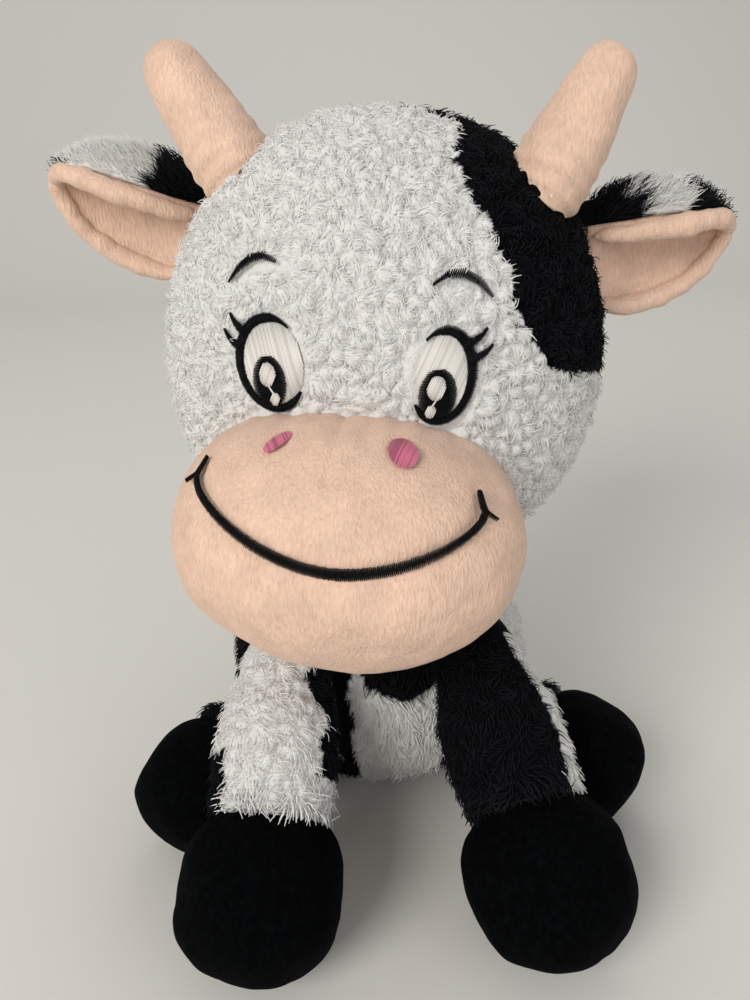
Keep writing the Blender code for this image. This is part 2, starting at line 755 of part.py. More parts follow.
def make_eye(side, sign, middle):
    """One embroidered eye: white, black rim with lashes, pupil, and its glints."""
    centre = (sign * EYE_SIDE, EYE_RISE)
    white = oval(EYE_HALF_WIDTH - SEAM_GAP, EYE_HALF_HEIGHT - SEAM_GAP, *centre)
    place(
        f"eye_{side}_white",
        stitched_patch(white, centre, head_front, SEAM_GAP),
        "white_thread",
        middle,
    )
    inner, outer = eye_outline(sign, 0, 0), eye_outline(sign, EYE_RIM, LASH_LENGTH)
    rim = stitched_ring(inner, outer, head_front, SEAM_GAP)
    place(f"eye_{side}_rim", rim, "black_thread", middle)
    low = EYE_RISE - PUPIL_DROP
    over = 2 * SEAM_GAP + STITCH_THICKNESS
    spot = (centre[0], low)
    pupil = oval(PUPIL_HALF_WIDTH, PUPIL_HALF_HEIGHT, *spot)
    place(
        f"eye_{side}_pupil",
        stitched_patch(pupil, spot, head_front, over, 1),
        "black_thread",
        middle,
    )
    over += SEAM_GAP + STITCH_THICKNESS
    top = (centre[0], low + GLINT_RISE)
    small = (centre[0] + SMALL_GLINT_SIDE, low - SMALL_GLINT_DROP)
    large = oval(GLINT_HALF_WIDTH, GLINT_HALF_HEIGHT, *top, 12)
    glint = stitched_patch(large, top, head_front, over, 1)
    place(f"eye_{side}_glint", glint, "white_thread", middle)
    round_spot = oval(SMALL_GLINT_RADIUS, SMALL_GLINT_RADIUS, *small, 8)
    spark = stitched_patch(round_spot, small, head_front, over, 1)
    place(f"eye_{side}_spark", spark, "white_thread", middle)


def make_brow(side, sign, middle):
    """One arched brow over an eye."""
    path = []
    widths = []
    steps = 6
    for i in range(steps + 1):
        share = 2 * i / steps - 1
        along = BROW_HALF_LENGTH * share
        rise = BROW_ARCH * (1 - share * share)
        x = along * math.cos(BROW_SLOPE) - rise * math.sin(BROW_SLOPE)
        z = along * math.sin(BROW_SLOPE) + rise * math.cos(BROW_SLOPE)
        path.append((sign * (BROW_SIDE + x), BROW_RISE + z))
        widths.append(BROW_WIDTH * (1 - share * share / 2))
    line = stitched_line(path, widths, head_front, SEAM_GAP)
    place(f"brow_{side}", line, "black_thread", middle)


def smile_slant(share):
    """How much higher the slanting smile is at a share of its half width."""
    return SMILE_HALF_WIDTH * share * math.tan(SMILE_SLOPE)


def make_muzzle_stitching(nose):
    """Nostrils and the smile with its dimples, on the muzzle."""
    for side, sign in (("left", 1), ("right", -1)):
        spot = (sign * NOSTRIL_SIDE, NOSTRIL_CLIMB)
        outline = oval(NOSTRIL_HALF_WIDTH, NOSTRIL_HALF_HEIGHT, *spot, 12)
        patch = stitched_patch(outline, spot, muzzle_front, SEAM_GAP, 1)
        place(f"nostril_{side}", patch, "pink_thread", nose)
    path = []
    widths = []
    steps = 20
    for i in range(steps + 1):
        share = math.sin(math.pi * (i / steps - 1 / 2))
        rise = 1 - (1 - abs(share) ** SMILE_POWER) ** (1 / SMILE_POWER)
        climb = SMILE_LOW + (SMILE_HIGH - SMILE_LOW) * rise
        path.append((SMILE_HALF_WIDTH * share, climb + smile_slant(share)))
        widths.append(SMILE_WIDTH * (1 - share * share / 2))
    line = stitched_line(path, widths, muzzle_front, SEAM_GAP)
    smile = place("smile", line, "black_thread", nose)
    for side, sign in (("left", 1), ("right", -1)):
        end = Vector((sign * SMILE_HALF_WIDTH, SMILE_HIGH + smile_slant(sign)))
        lean = Vector((sign * math.sin(DIMPLE_LEAN), -math.cos(DIMPLE_LEAN))) * DIMPLE_HALF_LENGTH
        path = [tuple(end + lean * (i / 2 - 1)) for i in range(5)]
        line = stitched_line(path, [SMILE_WIDTH / 2] * len(path), muzzle_front, SEAM_GAP)
        tick = hide_cutter(place(f"dimple_{side}", line, None, nose))
        combine(smile, tick, "UNION")


# Limbs


def leg_profile(root, swell, ankle, length):
    """A leg's outer side: round root, swelling to its middle, tapering to the ankle seam."""
    points = [(0, -root)] + arc(0, root, math.pi, math.pi / 2, 3)[1:]
    count = len(LEG_SWELL_SHARES)
    for i, share in enumerate(LEG_SWELL_SHARES, 1):
        z = length * i / (count + 1)
        line = root + (ankle - root) * i / (count + 1)
        points.append((line + (swell - line) * share, z))
    return points + [(ankle, length)]


def hoof_profile(ankle, radius, length):
    """A hoof's outer side, rising from the middle of its sole to the ankle seam at zero."""
    bend = 2 / HOOF_POWER
    points = []
    steps = 7
    last = math.pi - math.asin((ankle / radius) ** (1 / bend))
    for i in range(steps + 1):
        angle = last * i / steps
        flat = math.copysign(abs(math.cos(angle)) ** bend, math.cos(angle))
        points.append((radius * math.sin(angle) ** bend, -flat))
    low, high = points[0][1], points[-1][1]
    return [(r, length * (z - high) / (high - low)) for r, z in points]


def along_leg(profile, length):
    """A hoof's profile turned about to point its sole away from a leg of this length."""
    return [(r, length + SEAM_GAP - z) for r, z in profile]


def pitch_to_floor(profile, height):
    """The slope at which a limb from a pivot at this height just reaches the floor."""
    low, high = 0, math.pi / 2
    while high - low > 1 / BISECTION_FINENESS**2:
        pitch = (low + high) / 2
        reach = max(z * math.sin(pitch) + r * math.cos(pitch) for r, z in profile)
        if reach < height + REST_CUT:
            low = pitch
        else:
            high = pitch
    return low


def make_leg(name, sizes, azimuth, height, yaw, ground):
    """One leg and its hoof on a pivot at the torso. Returns its socket's cutter."""
    standoff, root, swell, ankle, length, hoof_radius, hoof_length = sizes
    spot = torso_point(azimuth, height, standoff)
    leg = leg_profile(root, swell, ankle, length)
    hoof = hoof_profile(ankle, hoof_radius, hoof_length)
    pitch = pitch_to_floor(along_leg(hoof, length), spot.z)
    aim = Matrix.Rotation(yaw, 4, "Z") @ Matrix.Rotation(math.pi / 2 + pitch, 4, "X")
    joint = pivot(f"{name}_pivot", Matrix.Translation(spot) @ aim)
    fleece = "black_fleece" if name == BLACK_LEG else "white_fleece"
    shapes = {
        f"{name}_cover": (cover_profile(leg), fleece),
        f"{name}_stuffing": (wad_profile(leg), "stuffing"),
        f"{name}_hoof_cover": (along_leg(cover_profile(hoof), length), "velour"),
        f"{name}_hoof_stuffing": (along_leg(wad_profile(hoof), length), "stuffing"),
    }
    for piece, (profile, material) in shapes.items():
        sides = HOOF_SIDES if "hoof" in piece else LEG_SIDES
        thing = place(piece, turned(profile, sides), material, joint)
        if piece.endswith("hoof_cover"):
            cut(thing, ground)
    return ball(f"{name}_socket", root + TURN_GAP, ROOT_SIDES, joint)


def make_tail():
    """A fleece tail with its tuft, hanging at the back. Returns its socket's cutter."""
    spot = torso_point(math.pi, TAIL_ROOT_HEIGHT, TAIL_ROOT_STANDOFF)
    aim = Matrix.Rotation(-math.pi / 2 - TAIL_PITCH, 4, "X")
    joint = pivot("tail_pivot", Matrix.Translation(spot) @ aim)
    root = TAIL_ROOT_RADIUS
    points = [(0, -root)] + arc(0, root, math.pi, math.pi / 2, 3)[1:]
    points += [(TAIL_RADIUS, TAIL_LENGTH / 2), (TUFT_NECK_RADIUS, TAIL_LENGTH)]
    place("tail_tube", turned(points + [(0, TAIL_LENGTH)], TAIL_SIDES), "white_fleece", joint)
    half = TUFT_LENGTH / 2
    start = math.asin(TUFT_NECK_RADIUS / TUFT_RADIUS)
    base = TAIL_LENGTH + SEAM_GAP
    back = half * math.cos(start)
    tuft = [(0, base)]
    steps = 6
    for i in range(steps + 1):
        angle = start + (math.pi - start) * i / steps
        tuft.append((TUFT_RADIUS * math.sin(angle), base + back - half * math.cos(angle)))
    tuft[-1] = (0, tuft[-1][1])
    place("tail_tuft", turned(tuft, TAIL_SIDES), "black_fleece", joint)
    return ball("tail_socket", root + TURN_GAP, ROOT_SIDES, joint)


def make_ground():
    """A cutter under the floor that cuts the hooves flat where they stand."""
    mesh = bmesh.new()
    bmesh.ops.create_cube(mesh, size=1)
    reach = 2 * (FRONT_LEG_LENGTH + FRONT_HOOF_LENGTH + TORSO_HALF_WIDTH)
    bmesh.ops.scale(mesh, vec=(2 * reach, 2 * reach, OVERRUN), verts=mesh.verts)
    bmesh.ops.translate(mesh, vec=(0, 0, -OVERRUN / 2), verts=mesh.verts)
    return hide_cutter(place("ground", mesh, None))


FRONT_SIZES = (
    FRONT_ROOT_STANDOFF,
    FRONT_ROOT_RADIUS,
    FRONT_LEG_RADIUS,
    FRONT_ANKLE_RADIUS,
    FRONT_LEG_LENGTH,
    FRONT_HOOF_RADIUS,
    FRONT_HOOF_LENGTH,
)
HIND_SIZES = (
    HIND_ROOT_STANDOFF,
    HIND_ROOT_RADIUS,
    HIND_LEG_RADIUS,
    HIND_ANKLE_RADIUS,
    HIND_LEG_LENGTH,
    HIND_HOOF_RADIUS,
    HIND_HOOF_LENGTH,
)


def main():
    """Clears the scene and makes every piece."""
    for thing in list(bpy.data.objects):
        bpy.data.objects.remove(thing)
    ground = make_ground()
    front, hind = FRONT_ROOT_AZIMUTH, HIND_ROOT_AZIMUTH
    sockets = [
        make_leg("front_leg_left", FRONT_SIZES, front, FRONT_ROOT_HEIGHT, FRONT_LEFT_YAW, ground),
        make_leg(
            "front_leg_right", FRONT_SIZES, -front, FRONT_ROOT_HEIGHT, FRONT_RIGHT_YAW, ground
        ),
        make_leg("hind_leg_left", HIND_SIZES, hind, HIND_ROOT_HEIGHT, HIND_LEFT_YAW, ground),
        make_leg("hind_leg_right", HIND_SIZES, -hind, HIND_ROOT_HEIGHT, HIND_RIGHT_YAW, ground),
        make_tail(),
    ]
    make_torso(sockets)
    make_neck()
    middle, cup, shell, hollow, stuffing = make_head()
    head, nose = make_muzzle(middle)
    ear_sockets = []
    sides = (
        ("left", 1, LEFT_HORN_LEAN, LEFT_EAR_SWEEP, LEFT_EAR_DROOP),
        ("right", -1, RIGHT_HORN_LEAN, RIGHT_EAR_SWEEP, RIGHT_EAR_DROOP),
    )
    for side, sign, lean, sweep, droop in sides:
        make_horn(side, sign, lean, middle, head)
        ear_sockets.append(make_ear(side, sign, sweep, droop, middle))
        make_eye(side, sign, middle)
        make_brow(side, sign, middle)
    make_muzzle_stitching(nose)
    cut(shell, hollow, cup, *ear_sockets)
    cut(stuffing, cup, *ear_sockets)


main()
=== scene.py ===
"""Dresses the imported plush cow: sherpa fleece, velour hooves, minky muzzle, horns and ear linings,
and satin-stitched eyes, brows, nostrils and smile, on a pale studio floor."""

import json
import math
import random

import bmesh
import bpy
import numpy as np
from bpy.props import FloatProperty, FloatVectorProperty, PointerProperty
from mathutils import Euler, Matrix, Vector, noise
from mathutils.kdtree import KDTree

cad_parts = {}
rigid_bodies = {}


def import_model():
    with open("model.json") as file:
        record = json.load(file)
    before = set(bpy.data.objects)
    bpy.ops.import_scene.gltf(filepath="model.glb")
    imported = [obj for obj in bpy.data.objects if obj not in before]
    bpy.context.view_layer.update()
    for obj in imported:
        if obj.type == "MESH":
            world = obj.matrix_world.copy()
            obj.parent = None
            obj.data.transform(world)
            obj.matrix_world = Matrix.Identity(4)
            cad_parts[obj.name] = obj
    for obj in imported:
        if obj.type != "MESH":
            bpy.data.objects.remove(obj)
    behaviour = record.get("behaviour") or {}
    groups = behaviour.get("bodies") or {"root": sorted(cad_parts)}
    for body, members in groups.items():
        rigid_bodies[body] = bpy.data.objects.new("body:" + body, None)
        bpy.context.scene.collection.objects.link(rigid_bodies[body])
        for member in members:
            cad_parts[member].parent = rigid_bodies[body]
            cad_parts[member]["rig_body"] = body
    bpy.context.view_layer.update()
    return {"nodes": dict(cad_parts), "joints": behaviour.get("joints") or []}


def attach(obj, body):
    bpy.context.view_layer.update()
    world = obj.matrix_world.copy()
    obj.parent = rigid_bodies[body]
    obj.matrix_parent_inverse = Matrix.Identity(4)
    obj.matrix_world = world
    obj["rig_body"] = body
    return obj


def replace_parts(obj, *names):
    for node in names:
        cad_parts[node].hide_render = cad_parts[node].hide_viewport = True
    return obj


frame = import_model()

bl_info = {
    "name": "Plush cow",
    "version": (1, 0, 0),
    "blender": (4, 5, 0),
    "location": "View3D > Sidebar > Plush cow",
    "description": "Builds the fleece, cloth and stitching of a sitting plush cow",
    "category": "Add Mesh",
}


# Small helpers


def linear(code):
    """An sRGB hex colour as linear RGBA."""
    values = [int(code[i : i + 2], 16) / 255 for i in (1, 3, 5)]
    return (*[v / 12.92 if v <= 0.04045 else ((v + 0.055) / 1.055) ** 2.4 for v in values], 1)


def add(tree, kind, inputs=None, **settings):
    """Adds a node, with its settings and with a value or a link for each named or numbered input."""
    node = tree.nodes.new(kind)
    for key, value in settings.items():
        setattr(node, key, value)
    for key, value in (inputs or {}).items():
        if isinstance(value, bpy.types.NodeSocket):
            tree.links.new(value, node.inputs[key])
        else:
            node.inputs[key].default_value = value
    return node


def smooth_step(x, low, high):
    """0 below low, 1 above high, smooth between, for arrays too."""
    t = np.clip((np.asarray(x, float) - low) / (high - low), 0, 1)
    return t * t * (3 - 2 * t)


def solid(name, points, faces, material):
    """A mesh object at the origin from points in the row frame, smooth, with its faces outwards."""
    data = bpy.data.meshes.new(name)
    data.from_pydata([tuple(p) for p in points], [], [tuple(f) for f in faces])
    mesh = bmesh.new()
    mesh.from_mesh(data)
    bmesh.ops.remove_doubles(mesh, verts=mesh.verts, dist=0.000001)
    bmesh.ops.recalc_face_normals(mesh, faces=mesh.faces)
    mesh.to_mesh(data)
    mesh.free()
    data.shade_smooth()
    thing = bpy.data.objects.new(name, data)
    bpy.context.scene.collection.objects.link(thing)
    if material:
        data.materials.append(material)
    return thing


def coordinates(thing):
    """An object's points as an array."""
    flat = np.zeros(len(thing.data.vertices) * 3)
    thing.data.vertices.foreach_get("co", flat)
    return flat.reshape(-1, 3)


def normals(thing):
    """An object's point normals as an array."""
    return np.array([v.normal for v in thing.data.vertices])


def move_points(thing, points):
    """Puts an object's points elsewhere."""
    thing.data.vertices.foreach_set("co", np.asarray(points, float).ravel())
    thing.data.update()


def paint(thing, name, values):
    """Keeps a number for each point, which materials and Geometry Nodes read by its name."""
    values = np.asarray(values, np.float32)
    kind = "FLOAT" if values.ndim == 1 else "FLOAT_VECTOR"
    layer = thing.data.attributes.get(name) or thing.data.attributes.new(name, kind, "POINT")
    layer.data.foreach_set("value" if kind == "FLOAT" else "vector", values.ravel())


def carried(points, matrix):
    """Points of a piece's own frame in the row frame."""
    m = np.array(matrix)
    return np.asarray(points, float) @ m[:3, :3].T + m[:3, 3]


def local(points, matrix):
    """Points of the row frame in a piece's own frame."""
    return carried(points, matrix.inverted())


def lumps(points, size, height, seed=0):
    """Soft random lumps of a real size, as a height for each point."""
    shift = Vector((seed * 1.37, seed * 0.71, seed * 2.13))
    return np.array([noise.noise(Vector(p) / size + shift) for p in points]) * height


def puffs(points, size, height, seed=0):
    """Rounded tufts about this size with thin creases between them, as a height for each point."""
    shift = Vector((seed * 2.1, seed * 1.3, seed * 0.7))
    heights = []
    for p in points:
        spot = Vector(p) / size + shift
        spot += noise.noise_vector(spot * 0.9) * 0.45
        near, second = noise.voronoi(spot)[0][:2]
        pad = 1 - math.exp(-(second - near) / 0.2)
        heights.append(0.6 * pad + 0.4 * (1 - min(near / 0.75, 1) ** 2))
    return (np.array(heights) - 0.45) * height


def swirls(points, size, seed=0):
    """Directions that turn smoothly over about this size, in which tufts of pile lie."""
    shift = Vector((seed * 0.9, seed * 1.7, seed * 0.3))
    ways = np.array([noise.noise_vector(Vector(p) / size + shift) for p in points])
    return ways / np.maximum(np.linalg.norm(ways, axis=1), 1e-6)[:, None]


def quad_sphere(count):
    """Even directions over a sphere, and the square faces between them."""
    points, faces, found = [], [], {}
    for axis in range(3):
        for sign in (-1, 1):
            grid = {}
            for i in range(count + 1):
                for j in range(count + 1):
                    a = math.tan(math.pi / 4 * (2 * i / count - 1))
                    b = math.tan(math.pi / 4 * (2 * j / count - 1))
                    spot = [0, 0, 0]
                    spot[axis], spot[(axis + 1) % 3], spot[(axis + 2) % 3] = sign, a, b
                    way = Vector(spot).normalized()
                    key = tuple(round(v, 5) for v in way)
                    if key not in found:
                        found[key] = len(points)
                        points.append(way)
                    grid[i, j] = found[key]
            for i in range(count):
                for j in range(count):
                    faces.append((grid[i, j], grid[i + 1, j], grid[i + 1, j + 1], grid[i, j + 1]))
    return np.array(points), faces


def revolved(profile, sides):
    """Points and faces of a closed body turned from (radius, height) that ends on the axis twice."""
    points, faces, rings = [], [], []
    for r, z in profile:
        ring = []
        for k in range(1 if r <= 0 else sides):
            angle = 2 * math.pi * k / sides
            ring.append(len(points))
            points.append((max(r, 0) * math.cos(angle), max(r, 0) * math.sin(angle), z))
        rings.append(ring)
    for low, high in zip(rings, rings[1:]):
        for k in range(sides):
            j = (k + 1) % sides
            if len(low) == 1:
                faces.append((low[0], high[k], high[j]))
            elif len(high) == 1:
                faces.append((low[k], low[j], high[0]))
            else:
                faces.append((low[k], low[j], high[j], high[k]))
    return np.array(points), faces


def fine_profile(corners, count):
    """A profile through its corners on a smooth curve, with even steps along it."""
    corners = np.array(corners, float)
    run = np.concatenate([[0], np.cumsum(np.linalg.norm(np.diff(corners, axis=0), axis=1))])
    at = np.linspace(0, run[-1], count)
    fine = np.stack([np.interp(at, run, corners[:, k]) for k in (0, 1)], 1)
    for _ in range(6):
        fine[1:-1] = (fine[:-2] + 2 * fine[1:-1] + fine[2:]) / 4
    return [tuple(p) for p in fine]


# The cow's frames and forms, in metres, as the CAD model has them

NECK = Matrix.Translation((0, 0, 0.070))
LEAN = Matrix.Rotation(math.radians(-9), 4, "Z") @ Matrix.Rotation(math.radians(4), 4, "Y")
HEAD = NECK @ LEAN @ Matrix.Translation((-0.003, 0, 0.127))
MUZZLE = HEAD @ Matrix.Translation((0, -0.080, -0.0485))
HEAD_HALF = (0.088, 0.077, 0.090)
HEAD_POWER = 2.15
CHEEK = 0.03
MUZZLE_HALF = (0.063, 0.045, 0.0455)
MUZZLE_POWER = 2.3
MUZZLE_SQUARE = 2 / 0.88
TORSO_HALF = (0.069, 0.066)
BELLY = 0.050
NECK_RADIUS = 0.051
CUP_RADIUS = 0.0542
FLANK_CURVE = 0.020
SEAT_POWER = 2.8
LIMBS = {
    "front_leg_left": (17.0, 37.828),
    "front_leg_right": (-7.5, 37.828),
    "hind_leg_left": (60.0, 18.362),
    "hind_leg_right": (-36.0, 18.362),
}
LEG_SIZES = {
    "front": ((0, -0.0160), (0.0113, -0.0113), (0.0160, 0), (0.0178, 0.0165), (0.0225, 0.0330),
              (0.0231, 0.0495), (0.0205, 0.0660)),
    "hind": ((0, -0.0150), (0.0106, -0.0106), (0.0150, 0), (0.0163, 0.0028), (0.0196, 0.0055),
             (0.0202, 0.0083), (0.0185, 0.0110)),
}
HOOF_SIZES = {"front": (0.0205, 0.0305, 0.055, 0.066), "hind": (0.0185, 0.0275, 0.048, 0.011)}
HORNS = {"left": (1, 25.0), "right": (-1, 34.0)}
EARS = {"left": (1, 22.0, 8.0), "right": (-1, -8.0, 1.0)}
EYE_SIDE, EYE_RISE, EYE_WIDE, EYE_HIGH = 0.0290, 0.0100, 0.0095, 0.0142


def joint_point(name):
    """Where a joint is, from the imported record."""
    return Vector(next(j["pos_m"] for j in frame["joints"] if j["name"] == name))


def limb_frame(name):
    """A leg's own frame: +Z runs down the leg to the hoof."""
    yaw, pitch = (math.radians(v) for v in LIMBS[name])
    kind = "swing" if name.startswith("front") else "splay"
    spot = Matrix.Translation(joint_point(f"{name}_{kind}"))
    return spot @ Matrix.Rotation(yaw, 4, "Z") @ Matrix.Rotation(math.pi / 2 + pitch, 4, "X")


def horn_frame(side):
    """A horn's own frame: +Z runs up the horn."""
    sign, lean = HORNS[side]
    spot = Matrix.Translation((sign * 0.060, -0.012, 0.071))
    return HEAD @ spot @ Matrix.Rotation(sign * math.radians(lean), 4, "Y")


def ear_frame(side):
    """An ear's own frame: X runs out along it and Z along its seam."""
    sign, sweep, droop = EARS[side]
    tilt = Matrix.Rotation(-sign * math.radians(19), 4, "Y")
    turn = Matrix.Rotation(sign * math.radians(sweep), 4, "Z")
    hang = Matrix.Rotation(sign * math.radians(droop), 4, "Y")
    return Matrix.Translation(joint_point(f"ear_{side}_flap")) @ LEAN @ tilt @ turn @ hang


def on_superellipsoid(ways, half, power, square=2):
    """Where directions meet a superellipsoid whose last axis is z."""
    flat = ((np.abs(ways[:, 0]) / half[0]) ** square + (np.abs(ways[:, 1]) / half[1]) ** square)
    reach = (flat ** (power / square) + (np.abs(ways[:, 2]) / half[2]) ** power) ** (-1 / power)
    return ways * reach[:, None]


def head_level(points, grow=0.0):
    """Below 1 inside the head, above it outside, for points of the head's frame."""
    wide, deep, high = (h + grow for h in HEAD_HALF)
    cheek = 1 - CHEEK * np.clip(points[:, 2] / high, -1, 1)
    flat = np.hypot(points[:, 0] / wide, points[:, 1] / deep) / cheek
    return (flat**HEAD_POWER + (np.abs(points[:, 2]) / high) ** HEAD_POWER) ** (1 / HEAD_POWER)


def muzzle_level(points, grow=0.0):
    """Below 1 inside the muzzle, above it outside, for points of the muzzle's frame."""
    wide, deep, high = (h + grow for h in MUZZLE_HALF)
    side = (np.abs(points[:, 0]) / wide) ** MUZZLE_SQUARE
    rise = (np.abs(points[:, 2]) / high) ** MUZZLE_SQUARE
    level = (side + rise) ** (MUZZLE_POWER / MUZZLE_SQUARE)
    return (level + (np.abs(points[:, 1]) / deep) ** MUZZLE_POWER) ** (1 / MUZZLE_POWER)


def on_head(x, z, lift=0.0):
    """A point of the head's front over a place beside and above its middle, in the row frame."""
    wide, deep, high = (h + lift for h in HEAD_HALF)
    share = max(1 - (abs(z) / high) ** HEAD_POWER, 0) ** (1 / HEAD_POWER)
    r = wide * share * (1 - CHEEK * z / high)
    return HEAD @ Vector((x, -deep / wide * math.sqrt(max(r * r - x * x, 0)), z))


def on_muzzle(x, climb, lift=0.0):
    """A point of the muzzle's front beside its middle and this far up round it."""
    angle = climb / MUZZLE_HALF[2]
    near, far = 0.0, 0.12
    for _ in range(26):
        reach = (near + far) / 2
        spot = np.array([[x, -reach * math.cos(angle), reach * math.sin(angle)]])
        if muzzle_level(spot, lift)[0] < 1:
            near = reach
        else:
            far = reach
    return MUZZLE @ Vector((x, -near * math.cos(angle), near * math.sin(angle)))


def torso_profile(steps=40):
    """The torso's side from its seat to the top of its round neck."""
    bend = 2 / SEAT_POWER
    depth = BELLY + 0.0005
    start = math.acos((BELLY / depth) ** (1 / bend))
    corners = [(0, 0), (TORSO_HALF[1] * math.sin(start) ** bend * 0.5, 0)]
    for i in range(steps):
        angle = start + (math.pi / 2 - start) * i / steps
        z = BELLY - depth * math.cos(angle) ** bend
        corners.append((TORSO_HALF[1] * math.sin(angle) ** bend, max(z, 0)))
    edge = math.radians(52)
    r, z = NECK_RADIUS * math.sin(edge), 0.070 + NECK_RADIUS * math.cos(edge)
    arrive = (r + FLANK_CURVE * math.cos(edge), z - FLANK_CURVE * math.sin(edge))
    curve = ((TORSO_HALF[1], BELLY), (TORSO_HALF[1], BELLY + FLANK_CURVE), arrive, (r, z))
    for i in range(steps):
        t = i / steps
        weights = ((1 - t) ** 3, 3 * t * (1 - t) ** 2, 3 * t * t * (1 - t), t**3)
        corners.append(tuple(sum(w * c[k] for w, c in zip(weights, curve)) for k in (0, 1)))
    for i in range(steps):
        angle = edge * (1 - i / steps)
        corners.append((NECK_RADIUS * math.sin(angle), 0.070 + NECK_RADIUS * math.cos(angle)))
    return corners + [(0, 0.070 + NECK_RADIUS)]


def pushed_out_of_ball(points, centre, radius):
    """Moves what lies in a ball out to its surface."""
    away = points - np.array(centre)
    far = np.linalg.norm(away, axis=1)
    inside = far < radius
    points[inside] = np.array(centre) + away[inside] / np.maximum(far[inside], 1e-9)[:, None] * radius
    return points


def pushed_out_of_head(points, grow):
    """Moves what lies in the head out to its surface, along lines from the head's middle."""
    spots = local(points, HEAD)
    level = head_level(spots, grow)
    inside = level < 1
    spots[inside] /= np.maximum(level[inside], 0.05)[:, None]
    return carried(spots, HEAD)


def stuffed(piece, pins, cap, cell):
    """Blows a cover up from inside as its stuffing does: a coarse copy runs as cloth under
    pressure, held where pins is 1, and its movement, capped, is laid on the fine piece."""
    points = coordinates(piece)
    shell = piece.copy()
    shell.data = piece.data.copy()
    bpy.context.scene.collection.objects.link(shell)
    cells = shell.modifiers.new("cells", "REMESH")
    cells.mode, cells.voxel_size = "VOXEL", cell
    bpy.context.view_layer.update()
    seen = shell.evaluated_get(bpy.context.evaluated_depsgraph_get())
    coarse = bpy.data.meshes.new_from_object(seen)
    shell.modifiers.remove(cells)
    shell.data = coarse
    start = coordinates(shell)
    tree = KDTree(len(points))
    for i, p in enumerate(points):
        tree.insert(p, i)
    tree.balance()
    held = shell.vertex_groups.new(name="held")
    for i, p in enumerate(start):
        held.add([i], float(pins[tree.find(p)[1]]), "REPLACE")
    move_points(shell, start - normals(shell) * 0.0012)
    cloth = shell.modifiers.new("cloth", "CLOTH")
    cloth.settings.vertex_group_mass = "held"
    cloth.settings.quality = 6
    cloth.settings.air_damping = 0
    cloth.settings.mass = 0.002
    cloth.settings.tension_stiffness = cloth.settings.compression_stiffness = 5
    cloth.settings.bending_stiffness = 0.01
    cloth.settings.use_pressure = True
    cloth.settings.uniform_pressure_force = 2600
    cloth.settings.effector_weights.gravity = 0
    cloth.collision_settings.use_collision = False
    cloth.point_cache.frame_start, cloth.point_cache.frame_end = 1, 20
    for frame_number in range(1, 21):
        bpy.context.scene.frame_set(frame_number)
    seen = shell.evaluated_get(bpy.context.evaluated_depsgraph_get())
    moved = np.array([v.co for v in seen.data.vertices]) - start
    bpy.data.objects.remove(shell)
    bpy.context.scene.frame_set(1)
    far = np.linalg.norm(moved, axis=1)
    moved *= (np.minimum(far, cap) / np.maximum(far, 1e-9))[:, None]
    tree = KDTree(len(start))
    for i, p in enumerate(start):
        tree.insert(p, i)
    tree.balance()
    for i, p in enumerate(points.copy()):
        near = tree.find_n(p, 6)
        weights = np.array([1 / (d * d + (cell * 0.35) ** 2) for _, _, d in near])
        points[i] += weights @ moved[[k for _, k, _ in near]] / weights.sum()
    move_points(piece, points)


# Materials


def cloth_base(name, colour, roughness, sheen=0.0, sheen_roughness=0.3, sheen_tint="#FFFFFF"):
    """A new material with its Principled shader's even values set on the shader's own sockets;
    its colour is linear."""
    material = bpy.data.materials.new(name)
    material.use_nodes = True
    tree = material.node_tree
    shader = tree.nodes["Principled BSDF"]
    shader.inputs["Base Color"].default_value = (*colour[:3], 1)
    shader.inputs["Roughness"].default_value = roughness
    shader.inputs["IOR"].default_value = 1.5
    shader.inputs["Sheen Weight"].default_value = sheen
    shader.inputs["Sheen Roughness"].default_value = sheen_roughness
    shader.inputs["Sheen Tint"].default_value = linear(sheen_tint)
    return material, tree, shader


def millimetres(tree, size, detail=2.0, roughness=0.5, squeeze=None):
    """Noise over Object coordinates whose grains are this many millimetres across."""
    place = add(tree, "ShaderNodeTexCoord").outputs["Object"]
    if squeeze:
        place = add(tree, "ShaderNodeMapping", {"Vector": place, "Scale": squeeze}).outputs[0]
    inputs = {"Vector": place, "Scale": 1000 / size, "Detail": detail, "Roughness": roughness}
    return add(tree, "ShaderNodeTexNoise", inputs).outputs["Fac"]


def ramp(tree, factor, colour, low, high):
    """A colour over a factor: a low share of it, itself, then a high share."""
    node = add(tree, "ShaderNodeValToRGB", {"Fac": factor})
    stops = node.color_ramp.elements
    stops.new(0.5)
    for stop, (place, share) in zip(stops, ((0.3, low), (0.5, 1.0), (0.7, high))):
        stop.position = place
        stop.color = (*[min(c * share, 1) for c in colour[:3]], 1)
    return node.outputs["Color"]


def bumped(tree, shader, height, strength, distance):
    """Joins a height to the shader's normal."""
    inputs = {"Height": height, "Strength": strength, "Distance": distance}
    tree.links.new(add(tree, "ShaderNodeBump", inputs).outputs["Normal"], shader.inputs["Normal"])


def sherpa(name, colour, low, high, sheen, sheen_tint):
    """Sherpa: knitted polyester with a brushed, curled pile. Matt fibre, so rough, with a little
    sheen where fibre ends catch the light; clumps 5 mm across differ slightly in tone."""
    material, tree, shader = cloth_base(name, colour, 0.95, sheen, 0.6, sheen_tint)
    shader.inputs["Specular IOR Level"].default_value = 0.2
    tone = millimetres(tree, 5, 3, 0.65)
    tree.links.new(ramp(tree, tone, colour, low, high), shader.inputs["Base Color"])
    bumped(tree, shader, millimetres(tree, 0.9, 3, 0.7), 0.5, 0.0008)
    return material


